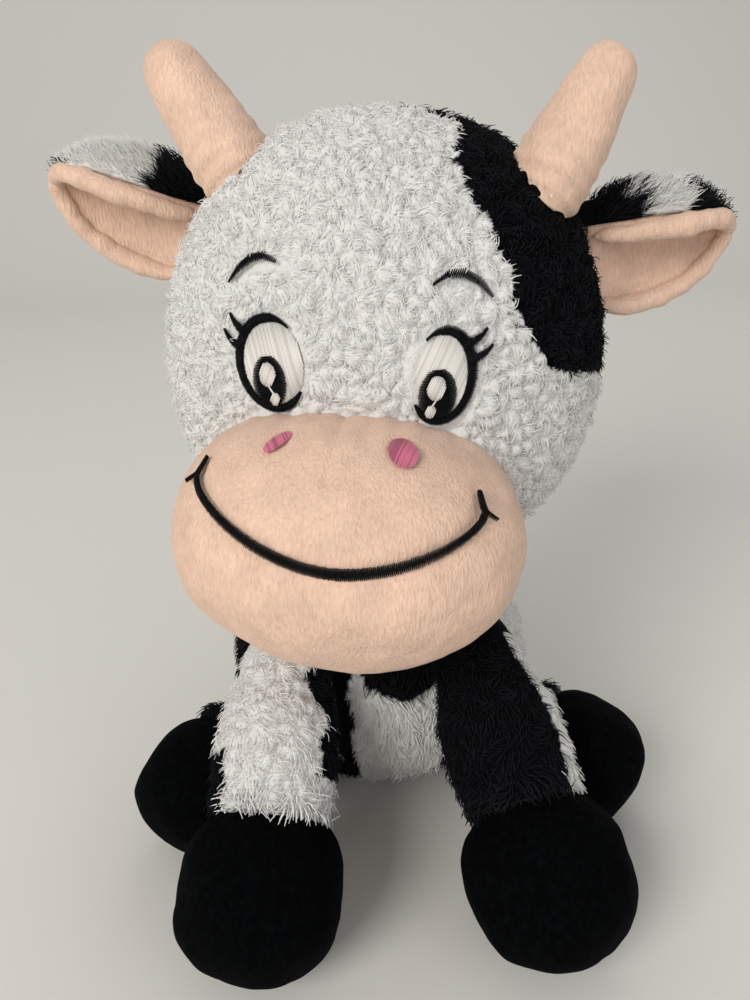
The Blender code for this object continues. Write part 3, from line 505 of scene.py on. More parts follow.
def sherpa_ground(name, pale, dark):
    """The fleece's matted ground under its fibre ends, which follows the patch painted on it; both its colours
    come in darker than the fibres' as painted shade in the crevices under the pile.
    The real fibres, 0.02 mm thick, are too fine to show, so the bump has 1.2 mm grains."""
    material, tree, shader = cloth_base(name, pale, 1.0)
    shader.inputs["Specular IOR Level"].default_value = 0.1
    patch = add(tree, "ShaderNodeAttribute", attribute_name="dark").outputs["Fac"]
    mix = add(tree, "ShaderNodeMix", {0: patch, 6: (*pale[:3], 1), 7: (*dark[:3], 1)}, data_type="RGBA")
    tree.links.new(mix.outputs[2], shader.inputs["Base Color"])
    bumped(tree, shader, millimetres(tree, 1.2, 3, 0.7), 0.8, 0.0012)
    return material


def minky(name, colour):
    """Minky: a smooth short-pile polyester plush. The nap, 1 to 2 mm long, lies downwards in
    strokes 0.9 mm wide and 4 mm long, and gives a soft pale sheen at grazing angles."""
    material, tree, shader = cloth_base(name, colour, 0.9, 0.35, 0.4, "#FFE9DE")
    shader.inputs["Specular IOR Level"].default_value = 0.25
    nap = millimetres(tree, 0.9, 3, 0.6, (1.0, 1.0, 0.22))
    soft = millimetres(tree, 12, 2, 0.5)
    tone = add(tree, "ShaderNodeMix", {0: 0.4, 2: nap, 3: soft}).outputs[0]
    tree.links.new(ramp(tree, tone, colour, 0.80, 1.20), shader.inputs["Base Color"])
    bumped(tree, shader, nap, 0.8, 0.0010)
    return material


def velour(name, colour):
    """Velour: dense cut pile under 1 mm, blue-black. It takes nearly all light face on and shows
    a dark grey sheen at its turning edges, with faint brushed streaks 2 mm wide."""
    material, tree, shader = cloth_base(name, colour, 0.9, 0.004, 0.3, "#7C8496")
    shader.inputs["Specular IOR Level"].default_value = 0.03
    streak = millimetres(tree, 2.0, 4, 0.65, (1.0, 0.8, 0.5))
    tree.links.new(ramp(tree, streak, colour, 0.4, 2.2), shader.inputs["Base Color"])
    bumped(tree, shader, millimetres(tree, 0.8, 3, 0.7), 0.5, 0.0008)
    return material


def thread(name, colour, low, roughness, sheen, shine):
    """Embroidery thread: bright twisted polyester. Each thread is given a random tone, from a low share of the
    thread's colour up to the colour itself, as a painted sheen for its shine turning away, and the twist, 0.5 mm a
    turn, shows as a fine bump."""
    material, tree, shader = cloth_base(name, colour, roughness, sheen, 0.4)
    shader.inputs["Specular IOR Level"].default_value = shine
    # Painted sheen: the thread's random tone darkens its colour as if its shine turned away.
    tone = add(tree, "ShaderNodeAttribute", attribute_name="tone").outputs["Fac"]
    tree.links.new(ramp(tree, tone, colour, low, 1.0), shader.inputs["Base Color"])
    bumped(tree, shader, millimetres(tree, 0.5, 2), 0.4, 0.0003)
    return material


def wadding(name, colour, size):
    """Polyester fibre fill, or pellets seen through their bag: matt, with soft lumps."""
    material, tree, shader = cloth_base(name, colour, 1.0, 0.2, 0.5)
    bumped(tree, shader, millimetres(tree, size, 4, 0.6), 0.6, 0.0015)
    return material


FINISHES = {}


def finishes():
    """Every material of the cow, made once from the settings' colours."""
    if not FINISHES:
        tints = bpy.context.scene.cow_colours
        # Painted shade: the ground under the pile is given at 92 % of the white fibres and 40 % of the black ones,
        # for the crevices between tufts.
        shaded_black_ground = [c * 0.4 for c in tints.black_fleece]
        FINISHES.update(
            white=sherpa("sherpa_white", tints.white_fleece, 0.90, 1.06, 0.30, "#FFFFFF"),
            black=sherpa("sherpa_black", tints.black_fleece, 0.5, 2.4, 0.05, "#8890A0"),
            ground=sherpa_ground("sherpa_ground", [c * 0.92 for c in tints.white_fleece], shaded_black_ground),
            minky=minky("minky_peach", tints.minky),
            velour=velour("velour_black", tints.velour),
            silver=thread("thread_silver", tints.silver_thread, 0.80, 0.35, 0.2, 0.5),
            dark=thread("thread_black", tints.black_thread, 0.2, 0.55, 0.0, 0.1),
            pink=thread("thread_pink", tints.pink_thread, 0.6, 0.45, 0.1, 0.3),
            wadding=wadding("polyester_wadding", linear("#EFEFEA"), 6.0),
            pellets=wadding("pellet_bag_cloth", linear("#D9D9D4"), 3.0),
        )
    return FINISHES


# Geometry Nodes


def new_tree(name, inputs):
    """A Geometry Nodes tree with named inputs, and its group input node."""
    tree = bpy.data.node_groups.new(name, "GeometryNodeTree")
    tree.interface.new_socket("Geometry", in_out="INPUT", socket_type="NodeSocketGeometry")
    tree.interface.new_socket("Geometry", in_out="OUTPUT", socket_type="NodeSocketGeometry")
    for title, kind in inputs:
        tree.interface.new_socket(title, in_out="INPUT", socket_type=f"NodeSocket{kind}")
    return tree, tree.nodes.new("NodeGroupInput")


def close_tree(tree, geometry, material):
    """Ends a tree: real mesh, smooth, with its material."""
    real = add(tree, "GeometryNodeRealizeInstances", {"Geometry": geometry}).outputs[0]
    even = add(tree, "GeometryNodeSetShadeSmooth", {"Geometry": real}).outputs[0]
    done = add(tree, "GeometryNodeSetMaterial", {"Geometry": even, "Material": material})
    add(tree, "NodeGroupOutput", {"Geometry": done.outputs[0]})
    return tree


def grown(name, base, tree, values):
    """A plain mesh object of what a tree grows on a base."""
    modifier = base.modifiers.new(tree.name, "NODES")
    modifier.node_group = tree
    for item in tree.interface.items_tree:
        if item.item_type == "SOCKET" and item.in_out == "INPUT" and item.name in values:
            modifier[item.identifier] = values[item.name]
    bpy.context.view_layer.update()
    seen = base.evaluated_get(bpy.context.evaluated_depsgraph_get())
    data = bpy.data.meshes.new_from_object(seen)
    base.modifiers.remove(modifier)
    data.name = name
    for layer in [a.name for a in data.attributes if a.name in ("pile", "dark", "comb", "thick")]:
        data.attributes.remove(data.attributes[layer])
    thing = bpy.data.objects.new(name, data)
    bpy.context.scene.collection.objects.link(thing)
    return thing


def random_value(tree, low, high, seed, vector=False):
    """A random number or vector for each point, from a fixed seed."""
    if vector:
        node = add(tree, "FunctionNodeRandomValue", {0: low, 1: high, 8: seed}, data_type="FLOAT_VECTOR")
        return node.outputs[0]
    return add(tree, "FunctionNodeRandomValue", {2: low, 3: high, 8: seed}, data_type="FLOAT").outputs[1]


def picked_points(tree, group, spacing_share=1.0):
    """Points scattered at a spacing where there is pile, kept only in the patch asked for."""
    out = group.outputs
    pile = add(tree, "GeometryNodeInputNamedAttribute", {"Name": "pile"}, data_type="FLOAT").outputs[0]
    dark = add(tree, "GeometryNodeInputNamedAttribute", {"Name": "dark"}, data_type="FLOAT").outputs[0]
    square = add(tree, "ShaderNodeMath", {0: out["Spacing"], 1: -2.0}, operation="POWER").outputs[0]
    dense = add(tree, "ShaderNodeMath", {0: square, 1: 3.0}, operation="MULTIPLY").outputs[0]
    inputs = {
        "Mesh": out["Geometry"], "Distance Min": out["Spacing"], "Density Max": dense,
        "Density Factor": pile, "Seed": out["Seed"],
    }
    spread = add(tree, "GeometryNodeDistributePointsOnFaces", inputs, distribute_method="POISSON")
    is_dark = add(tree, "FunctionNodeCompare", {0: dark, 1: 0.5}, data_type="FLOAT",
                  operation="GREATER_THAN").outputs[0]
    wrong = add(tree, "FunctionNodeBooleanMath", {0: is_dark, 1: out["Dark"]}, operation="XOR")
    kept = add(tree, "GeometryNodeDeleteGeometry", {"Geometry": spread.outputs["Points"],
               "Selection": wrong.outputs[0]}, domain="POINT")
    return kept.outputs[0], spread.outputs["Rotation"], pile, spread.outputs["Normal"]


def hair_tree():
    """Pile: bent tapering fibres that lie over the way their tuft is combed."""
    if "pile_fibres" in bpy.data.node_groups:
        return bpy.data.node_groups["pile_fibres"]
    tree, group = new_tree("pile_fibres", [
        ("Spacing", "Float"), ("Fibre Length", "Float"), ("Fibre Radius", "Float"),
        ("Rise", "Float"), ("Stray", "Float"), ("Seed", "Int"), ("Dark", "Bool"),
        ("Material", "Material")])
    out = group.outputs
    points, _, pile, normal = picked_points(tree, group)
    comb = add(tree, "GeometryNodeInputNamedAttribute", {"Name": "comb"},
               data_type="FLOAT_VECTOR").outputs[0]
    middle = add(tree, "ShaderNodeCombineXYZ", {"X": 0.12, "Z": out["Rise"]}).outputs[0]
    fall = add(tree, "ShaderNodeMath", {0: out["Rise"], 1: 0.9}, operation="MULTIPLY").outputs[0]
    end = add(tree, "ShaderNodeCombineXYZ", {"X": 0.80, "Z": fall}).outputs[0]
    bend = add(tree, "GeometryNodeCurveQuadraticBezier", {
        "Resolution": 2, "Start": (0, 0, 0), "Middle": middle, "End": end}).outputs[0]
    along = add(tree, "GeometryNodeSplineParameter").outputs["Factor"]
    taper = add(tree, "ShaderNodeMapRange", {0: along, 1: 0.0, 2: 1.0, 3: 1.0, 4: 0.3}).outputs[0]
    share = add(tree, "ShaderNodeMath", {0: out["Fibre Radius"], 1: out["Fibre Length"]},
                operation="DIVIDE").outputs[0]
    girth = add(tree, "ShaderNodeMath", {0: taper, 1: share}, operation="MULTIPLY").outputs[0]
    ring = add(tree, "GeometryNodeCurvePrimitiveCircle", {"Resolution": 3, "Radius": 1.0}).outputs[0]
    fibre = add(tree, "GeometryNodeCurveToMesh", {"Curve": bend, "Profile Curve": ring,
                "Scale": girth, "Fill Caps": True}).outputs[0]
    upright = add(tree, "FunctionNodeAlignRotationToVector", {"Vector": normal}, axis="Z").outputs[0]
    facing = add(tree, "FunctionNodeAlignRotationToVector", {"Rotation": upright, "Vector": comb},
                 axis="X", pivot_axis="Z").outputs[0]
    stray = add(tree, "ShaderNodeVectorMath", {
        0: random_value(tree, (-0.5, -0.7, -1.0), (0.5, 0.35, 1.0), 22, vector=True),
        "Scale": out["Stray"]}, operation="SCALE").outputs[0]
    twist = add(tree, "FunctionNodeEulerToRotation", {"Euler": stray}).outputs[0]
    way = add(tree, "FunctionNodeRotateRotation", {"Rotation": facing, "Rotate By": twist},
              rotation_space="LOCAL").outputs[0]
    sized = add(tree, "ShaderNodeMath", {0: random_value(tree, 0.65, 1.25, 23), 1: out["Fibre Length"]},
                operation="MULTIPLY").outputs[0]
    long = add(tree, "ShaderNodeMath", {0: sized, 1: pile}, operation="MULTIPLY").outputs[0]
    placed = add(tree, "GeometryNodeInstanceOnPoints", {
        "Points": points, "Instance": fibre, "Rotation": way, "Scale": long}).outputs[0]
    return close_tree(tree, placed, out["Material"])


def stitch_tree():
    """Satin stitching: each edge line of the base becomes one thread, as thick as its points say."""
    if "satin_threads" in bpy.data.node_groups:
        return bpy.data.node_groups["satin_threads"]
    tree, group = new_tree("satin_threads", [("Thread Radius", "Float"), ("Material", "Material")])
    out = group.outputs
    thick = add(tree, "GeometryNodeInputNamedAttribute", {"Name": "thick"}, data_type="FLOAT")
    line = add(tree, "GeometryNodeMeshToCurve", {"Mesh": out["Geometry"]}).outputs[0]
    girth = add(tree, "ShaderNodeMath", {0: thick.outputs[0], 1: out["Thread Radius"]},
                operation="MULTIPLY").outputs[0]
    ring = add(tree, "GeometryNodeCurvePrimitiveCircle", {"Resolution": 5, "Radius": 1.0}).outputs[0]
    tube = add(tree, "GeometryNodeCurveToMesh", {"Curve": line, "Profile Curve": ring,
               "Scale": girth, "Fill Caps": True}).outputs[0]
    return close_tree(tree, tube, out["Material"])


def fleece(name, base, body, settings, seed, length=1.0, spacing=1.0, rise=0.26, stray=0.30, width=1.0):
    """Grows white and dark pile on a base that has pile, dark and comb painted on it."""
    dark = np.zeros(len(base.data.vertices), np.float32)
    base.data.attributes["dark"].data.foreach_get("value", dark)
    for shade, is_dark, slot in (("white", False, "white_fleece"), ("black", True, "black_fleece")):
        if not ((dark > 0.5) == is_dark).any():
            continue
        values = {
            "Spacing": settings.fibre_spacing * spacing, "Fibre Length": settings.fibre_length * length,
            "Fibre Radius": settings.fibre_radius * width, "Rise": rise, "Stray": stray,
            "Seed": seed, "Dark": is_dark, "Material": finishes()[shade]}
        part = grown(f"{name}_{shade}_pile", base, hair_tree(), values)
        if len(part.data.polygons) == 0:
            bpy.data.objects.remove(part)
            continue
        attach(part, body)


def threads(name, lines, radius, shade, body, node):
    """Stitches: a thread along each line of points, standing for the CAD node of that stitching."""
    points, edges, sizes, painted_sheens = [], [], [], []
    chance = random.Random(name)
    for line in lines:
        # Each thread gets one random tone, which the thread material shows as painted sheen.
        start, count, tone = len(points), len(line), chance.random()
        points += [tuple(p) for p in line]
        sizes += [0.55 + 0.45 * math.sin(math.pi * i / (count - 1)) for i in range(count)]
        painted_sheens += [tone] * count
        edges += [(start + i, start + i + 1) for i in range(count - 1)]
    data = bpy.data.meshes.new(f"{name}_lines")
    data.from_pydata(points, edges, [])
    base = bpy.data.objects.new(f"{name}_lines", data)
    bpy.context.scene.collection.objects.link(base)
    paint(base, "thick", sizes)
    paint(base, "tone", painted_sheens)
    values = {"Thread Radius": radius, "Material": finishes()[shade]}
    piece = grown(name, base, stitch_tree(), values)
    bpy.data.objects.remove(base)
    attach(piece, body)
    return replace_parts(piece, node)


# Torso


def torso_patches(points):
    """Where the torso's fleece is black: the chest beside and above the white bib, the left
    flank, and a patch on the back."""
    azimuth = np.degrees(np.arctan2(points[:, 0], -points[:, 1]))
    z = points[:, 2] * 1000
    wave = np.array([noise.noise(Vector(p) * 60) for p in points]) * 5
    right_edge = np.interp(z, [12, 65], [22, 32]) + wave
    collar = 63 + 0.035 * (azimuth - 9) ** 2
    bib = (azimuth > -11 + wave) & (azimuth < right_edge) & (z < collar + wave) & (z > 7)
    chest = (azimuth > -24 + wave) & (azimuth < 52 + wave) & ~bib & (z > 8)
    flank = (azimuth < -62 + wave) & (azimuth > -128 + wave) & (z > 22 + wave) & (z < 96)
    back = (np.abs(azimuth) > 118 + wave) & (azimuth > 0) & (z > 30 + wave)
    return (chest | flank | back).astype(float)


def make_torso(settings):
    """The torso's fleece cover over its stuffed form, with its pile, and the neck's hem."""
    points, faces = revolved(fine_profile(torso_profile(), 150), 240)
    top = 0.070 + NECK_RADIUS * math.cos(math.radians(52))
    share = np.clip((top - points[:, 2]) / (top - BELLY), 0, 1)
    points[:, 0] *= 1 + (TORSO_HALF[0] / TORSO_HALF[1] - 1) * share * share * (3 - 2 * share)
    base = solid("torso_fleece_ground", points, faces, finishes()["ground"])
    points, away = coordinates(base), normals(base)
    free = smooth_step(points[:, 2], 0.002, 0.014) * (points[:, 2] < 0.104)
    points += away * (puffs(points, 0.0054, 0.0024, 1) * free)[:, None]
    for name in LIMBS:
        root = 0.0165 if name.startswith("front") else 0.0155
        points = pushed_out_of_ball(points, limb_frame(name).translation, root)
    points = pushed_out_of_ball(points, joint_point("tail_wag"), 0.0075)
    points[:, 2] = np.maximum(points[:, 2], 0)
    move_points(base, points)
    pile = smooth_step(points[:, 2], 0.003, 0.016) * (1 - smooth_step(points[:, 2], 0.096, 0.102))
    for name in LIMBS:
        root = np.array(limb_frame(name).translation)
        reach = 0.019 if name.startswith("front") else 0.0175
        pile *= np.linalg.norm(points - root, axis=1) > reach
    pile *= np.linalg.norm(points - np.array(joint_point("tail_wag")), axis=1) > 0.0085
    paint(base, "pile", pile)
    paint(base, "dark", torso_patches(points))
    paint(base, "comb", swirls(points, 0.009, 1) + np.array((0, 0, -1.3)))
    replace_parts(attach(base, "torso"), "body_cover")
    for part, half in (("front", points[:, 1] < 0), ("rear", points[:, 1] >= 0)):
        paint(base, "pile", pile * half)
        fleece(f"torso_{part}", base, "torso", settings, 3, length=1.35, rise=0.30)
    ring, rings = [], 9
    for i in range(rings):
        angle = math.radians(33 + (18 - 33) * i / (rings - 1))
        ring.append((0.0534 * math.sin(angle), 0.070 + 0.0534 * math.cos(angle)))
    inside = [(r * 0.0516 / 0.0534, 0.070 + (z - 0.070) * 0.0516 / 0.0534) for r, z in ring[::-1]]
    band, sides = ring + inside, 96
    points = [(r * math.cos(2 * math.pi * k / sides), r * math.sin(2 * math.pi * k / sides), z)
              for r, z in band for k in range(sides)]
    count = len(band)
    faces = [(i * sides + k, i * sides + (k + 1) % sides, (i + 1) % count * sides + (k + 1) % sides,
              (i + 1) % count * sides + k) for i in range(count) for k in range(sides)]
    hem = solid("neck_hem", points, faces, finishes()["ground"])
    paint(hem, "dark", np.zeros(len(hem.data.vertices)))
    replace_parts(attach(hem, "neck"), "neck_seam_ring")


# Head


def head_patch(points):
    """Where the head's fleece is black: one panel over its left side, round the horn and ear."""
    azimuth = np.degrees(np.arctan2(points[:, 0], -points[:, 1]))
    z = points[:, 2] * 1000
    wave = np.array([noise.noise(Vector(p) * 90) for p in points]) * 4
    edge = np.interp(z, [2, 7, 17, 27, 46, 62, 68, 75, 83, 90],
                     [76, 57, 46, 43, 40, 38, 34, 34, 46, 75]) + wave
    rear = np.interp(z, [-5, 20, 60, 90], [118, 140, 165, 175]) + wave
    low = np.interp(azimuth, [50, 76, 100, 130], [5, 1, -8, 6]) + wave
    return ((azimuth > edge) & (azimuth < rear) & (z > low)).astype(float)


def make_head(settings):
    """The head's fleece cover over its stuffed form, with its curled pile."""
    ways, faces = quad_sphere(128)
    spots = on_superellipsoid(ways, HEAD_HALF, HEAD_POWER)
    spots[:, :2] *= (1 - CHEEK * spots[:, 2] / HEAD_HALF[2])[:, None]
    base = solid("head_fleece_ground", carried(spots, HEAD), faces, finishes()["ground"])
    points, away = coordinates(base), normals(base)
    spots = local(points, HEAD)
    free = np.ones(len(spots))
    front = spots[:, 1] < 0
    by_ear = np.ones(len(spots))
    for side in EARS:
        spot = local(points, ear_frame(side))
        by_ear *= np.where(np.abs(spot[:, 2]) < 0.024,
                           smooth_step(np.hypot(spot[:, 0], spot[:, 1]), 0.008, 0.014), 1)
    for side in (-1, 1):
        x = (spots[:, 0] - side * EYE_SIDE) / (EYE_WIDE + 0.0026)
        z = (spots[:, 2] - EYE_RISE) / (EYE_HIGH + 0.0026)
        free *= np.where(front, smooth_step(np.hypot(x, z), 0.98, 1.12), 1)
        along = (spots[:, 0] * side - 0.0345) / 0.0095
        arch = spots[:, 2] - 0.0385 - 0.0020 * (1 - along**2) + (spots[:, 0] * side - 0.0345) * 0.3
        on_brow = (np.abs(along) < 1) & (np.abs(arch) < 0.0022) & front
        free *= np.where(on_brow, 0.0, 1.0)
    rise = (puffs(points, 0.0056, 0.0033, 2) + 0.0002) * free * by_ear - 0.0012 * (1 - by_ear)
    points += away * rise[:, None]
    in_muzzle = muzzle_level(local(points, MUZZLE), 0.0010) < 1
    points = pushed_out_of_ball(points, (0, 0, 0.070), CUP_RADIUS)
    move_points(base, points)
    pile = free * (np.linalg.norm(points - np.array((0, 0, 0.070)), axis=1) > CUP_RADIUS + 0.0015)
    pile *= ~in_muzzle
    for side in HORNS:
        spot = local(points, horn_frame(side))
        pile *= ~((np.hypot(spot[:, 0], spot[:, 1]) < 0.0168) & (spot[:, 2] > -0.02))
        spot = local(points, ear_frame(side))
        pile *= ~((np.hypot(spot[:, 0], spot[:, 1]) < 0.0075) & (np.abs(spot[:, 2]) < 0.022))
    spots = local(points, HEAD)
    paint(base, "pile", pile)
    paint(base, "dark", head_patch(spots))
    paint(base, "comb", swirls(points, 0.007, 2) + np.array((0, 0, -0.25)))
    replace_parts(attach(base, "head"), "head_cover")
    near, left = spots[:, 1] < 0, spots[:, 0] > 0
    for part, half in (("face_left", near & left), ("face_right", near & ~left),
                       ("nape_left", ~near & left), ("nape_right", ~near & ~left)):
        paint(base, "pile", pile * half)
        fleece(f"head_{part}", base, "head", settings, 5, spacing=1.12 if "nape" in part else 1.0)


# Muzzle and horns


def smile_at(share):
    """The smile's line at a share of its half width: beside and up round the muzzle."""
    rise = 1 - (1 - min(abs(share), 1) ** 1.8) ** (1 / 1.8)
    return 0.0470 * share, 0.0095 + 0.0300 * rise - 0.0470 * share * math.tan(math.radians(3))


def make_muzzle(settings):
    """The muzzle's minky cover, drawn in a little along the smile and at the nostrils."""
    ways, faces = quad_sphere(64)
    spots = on_superellipsoid(ways[:, [0, 2, 1]], (MUZZLE_HALF[0], MUZZLE_HALF[2], MUZZLE_HALF[1]),
                              MUZZLE_POWER, MUZZLE_SQUARE)[:, [0, 2, 1]]
    piece = solid("muzzle_minky", carried(spots, MUZZLE), faces, finishes()["minky"])
    points = coordinates(piece)
    line = np.array([on_muzzle(*smile_at(math.sin(math.pi * (i / 60 - 0.5)))) for i in range(61)])
    near = np.min(np.linalg.norm(points[:, None] - line[None], axis=2), axis=1)
    rim = head_level(local(points, HEAD))
    stuffed(piece, np.maximum(rim < 1.05, 0.6 * (near < 0.003)), 0.005, 0.0045)
    points, away = coordinates(piece), normals(piece)
    dent = -0.0011 * np.exp(-((near / 0.0035) ** 2))
    for x in (-0.020, 0.020):
        spot = np.array(on_muzzle(x, 0.052))
        dent -= 0.0009 * np.exp(-((np.linalg.norm(points - spot, axis=1) / 0.006) ** 2))
    spots = local(points, MUZZLE)
    seam = np.exp(-(((spots[:, 0] + 0.002) / 0.0011) ** 2)) * smooth_step(spots[:, 2], 0.020, 0.034)
    gather = np.sin(spots[:, 0] * 650) * (smooth_step(spots[:, 2], 0.030, 0.044) * (rim < 1.30))
    puff = lumps(points, 0.018, 0.0010, 3) + lumps(points, 0.006, 0.0003, 4)
    points += away * (dent + puff - 0.0007 * seam + 0.00035 * gather)[:, None]
    move_points(piece, pushed_out_of_head(points, 0.0004))
    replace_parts(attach(piece, "head"), "muzzle_cover")


def make_horns(settings):
    """Two stubby minky horns with a seam up the side and soft creases above the base."""
    straight = 0.047 - 0.0115
    corners = [(0, -0.013), (0.0150, -0.0125), (0.0165, -0.006), (0.0166, 0.002),
               (0.0156, straight * 0.35), (0.0148, straight / 2), (0.0128, straight * 0.85)]
    corners += [(0.0115 * math.sin(a), straight + 0.0115 * math.cos(a))
                for a in np.linspace(math.pi / 2, 0, 12)]
    for side, (sign, _) in HORNS.items():
        points, faces = revolved(fine_profile(corners, 64), 84)
        rise = np.maximum(points[:, 2], 0) / 0.047
        fuller = 1 + (0.06 if side == "right" else 0.0) * smooth_step(rise, 0.25, 0.8)
        points[:, :2] *= fuller[:, None]
        points[:, 0] += sign * (0.0012 if side == "right" else -0.001) * rise * rise
        around = np.arctan2(points[:, 1], points[:, 0])
        seam = np.exp(-((np.abs(np.angle(np.exp(1j * (around - 0.4)))) / 0.09) ** 2))
        crease = np.sin(points[:, 2] * 900 + 2 * np.cos(around * 2)) * np.exp(-(rise / 0.35) ** 2)
        points[:, :2] *= (1 - 0.035 * seam + 0.024 * crease)[:, None]
        piece = solid(f"horn_{side}_minky", carried(points, horn_frame(side)), faces,
                      finishes()["minky"])
        spots = local(coordinates(piece), horn_frame(side))
        stuffed(piece, (spots[:, 2] < 0.003).astype(float), 0.004, 0.0035)
        points, away = coordinates(piece), normals(piece)
        points += away * lumps(points, 0.008, 0.0006, 6)[:, None]
        move_points(piece, pushed_out_of_head(points, 0.0004))
        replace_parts(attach(piece, "head"), f"horn_{side}_cover")


# Ears

EAR_T = (0.00, 0.15, 0.33, 0.53, 0.72, 0.86, 0.95, 1.00)
EAR_HIGH = (0.88, 0.98, 1.00, 0.96, 0.84, 0.64, 0.42, 0.20)
EAR_DEEP = (0.40, 0.74, 0.98, 1.00, 0.90, 0.72, 0.52, 0.28)
EAR_OPEN = (0.95, 1.00, 1.00, 1.00, 0.96, 0.90, 0.80, 0.60)


def ear_point(t, across, depth, sign):
    """A point of the folded leaf: t runs root to tip, across from the front lip to the back."""
    wide, deep, spread = (float(np.interp(t, EAR_T, s)) for s in (EAR_HIGH, EAR_DEEP, EAR_OPEN))
    angle = math.radians(-40) - across * math.radians(110) * spread
    high = max(0.026 * wide - depth, 0.0003)
    out = max(0.014 * deep - depth, 0.0002)
    x = 0.0042 + 0.0578 * t
    return (sign * x, -out * math.sin(angle), high * math.cos(angle))


def leaf(sign, near, thick, first, last, start, end):
    """A closed folded sheet between two depths, as points and faces."""
    rows, columns = 34, 44
    points, faces = [], []
    for layer in (0, 1):
        for i in range(rows + 1):
            t = start + (end - start) * math.sin(math.pi / 2 * i / rows)
            for j in range(columns + 1):
                across = first + (last - first) * j / columns
                edge = 1 - abs(2 * j / columns - 1) ** 12
                depth = near + thick * (layer * edge + (1 - edge) / 2)
                points.append(ear_point(t, across, depth, sign))
    step, layer = columns + 1, (rows + 1) * (columns + 1)
    for i in range(rows):
        for j in range(columns):
            a = i * step + j
            faces.append((a, a + step, a + step + 1, a + 1))
            faces.append((layer + a, layer + a + 1, layer + a + step + 1, layer + a + step))
    for i in range(rows):
        for a in (i * step, i * step + columns):
            faces.append((a, a + step, layer + a + step, layer + a))
    for j in range(columns):
        for a in (j, rows * step + j):
            faces.append((a, a + 1, layer + a + 1, layer + a))
    return np.array(points), faces


def make_ears(settings):
    """Two folded ears: fleece backs with longer hair, minky linings with a rolled front hem."""
    for side, (sign, _, _) in EARS.items():
        place = ear_frame(side)
        body = f"ear_{side}"
        # The seam allowance runs 6 mm into the head, so the root stays joined when the ear flaps.
        points, faces = leaf(sign, 0, 0.0020, -0.88, 1.0, -0.17, 1)
        back = solid(f"ear_{side}_fleece_ground", carried(points, place), faces, finishes()["ground"])
        points, away = coordinates(back), normals(back)
        spots = local(points, place)
        run = sign * spots[:, 0] / 0.062
        outer = np.hypot(spots[:, 1] / 0.014, spots[:, 2] / 0.026)
        wide = np.interp((run * 0.062 - 0.0042) / 0.0578, EAR_T, EAR_HIGH)
        facing_out = np.einsum("ij,ij->i", carried(away, place.inverted().to_3x3().to_4x4()),
                               np.stack([np.zeros(len(spots)), spots[:, 1], spots[:, 2]], 1)) > 0
        pile = facing_out * (outer > 0.55 * wide) * smooth_step(run, 0.0, 0.04)
        pile = pile * smooth_step(spots[:, 2] / (0.026 * wide), -0.86, -0.55)
        speck = np.array([noise.noise(Vector(p) * 160) for p in points])
        if side == "right":
            dark = (run + 0.12 * speck < 0.40) | ((run > 0.93) & (speck > 0.1))
        else:
            dark = (run + 0.14 * speck < 0.30) | (run + 0.10 * speck > 0.66)
        comb = np.stack([sign * np.ones(len(spots)), 0.25 * np.ones(len(spots)),
                         0.35 * np.ones(len(spots))], 1)
        paint(back, "pile", pile.astype(float))
        paint(back, "dark", dark.astype(float))
        paint(back, "comb", comb @ np.array(place.to_3x3()).T)
        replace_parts(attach(back, body), f"ear_{side}_back")
        fleece(f"ear_{side}", back, body, settings, 31, length=1.75, spacing=0.62,
               rise=0.42, stray=0.60, width=1.0)
        points, faces = leaf(sign, 0.0024, 0.0014, -0.99, 0.985, -0.08, 0.985)
        lining = solid(f"ear_{side}_lining_minky", carried(points, place), faces, finishes()["minky"])
        spots = coordinates(lining)
        move_points(lining, spots + normals(lining) * lumps(spots, 0.010, 0.0004, 8)[:, None])
        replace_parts(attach(lining, body), f"ear_{side}_lining")
        hem, hem_faces, sides, steps = [], [], 16, 110
        path = []
        for i in range(steps + 1):
            share = i / steps
            t = float(np.interp(share, [0, 0.44, 0.56, 1], [-0.06, 1, 1, -0.06]))
            across = float(np.interp(share, [0.44, 0.56], [-1, 1]))
            path.append(Vector(ear_point(t, across, 0.0016, sign)))
        first = Vector((0, 0, 1))
        for i, spot in enumerate(path):
            ahead = (path[min(i + 1, steps)] - path[max(i - 1, 0)]).normalized()
            first = (first - ahead * first.dot(ahead)).normalized()
            second = ahead.cross(first)
            share = i / steps
            radius = float(np.interp(share, [0, 0.04, 0.25, 0.40, 0.5, 0.62, 0.85, 0.96, 1],
                                     [0, 0.0030, 0.0046, 0.0038, 0.0030, 0.0038, 0.0044, 0.0030, 0]))
            radius *= 1 + 0.07 * math.sin(i * 0.7) * math.sin(i * 0.23 + sign)
            for k in range(sides):
                angle = 2 * math.pi * k / sides
                hem.append(spot + (first * math.cos(angle) + second * math.sin(angle)) * float(radius))
        for i in range(steps):
            for k in range(sides):
                j = (k + 1) % sides
                hem_faces.append((i * sides + k, i * sides + j, (i + 1) * sides + j, (i + 1) * sides + k))
        roll = solid(f"ear_{side}_rolled_hem", carried(np.array(hem), place), hem_faces,
                     finishes()["minky"])
        spots = coordinates(roll)
        move_points(roll, spots + normals(roll) * lumps(spots, 0.007, 0.0006, 9)[:, None])
        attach(roll, body)


# Face stitching


def oval_ring(x, z, wide, high, tilt, angle):
    """A point of a tilted oval round a place."""
    u, v = wide * math.cos(angle), high * math.sin(angle)
    return x + u * math.cos(tilt) - v * math.sin(tilt), z + u * math.sin(tilt) + v * math.cos(tilt)


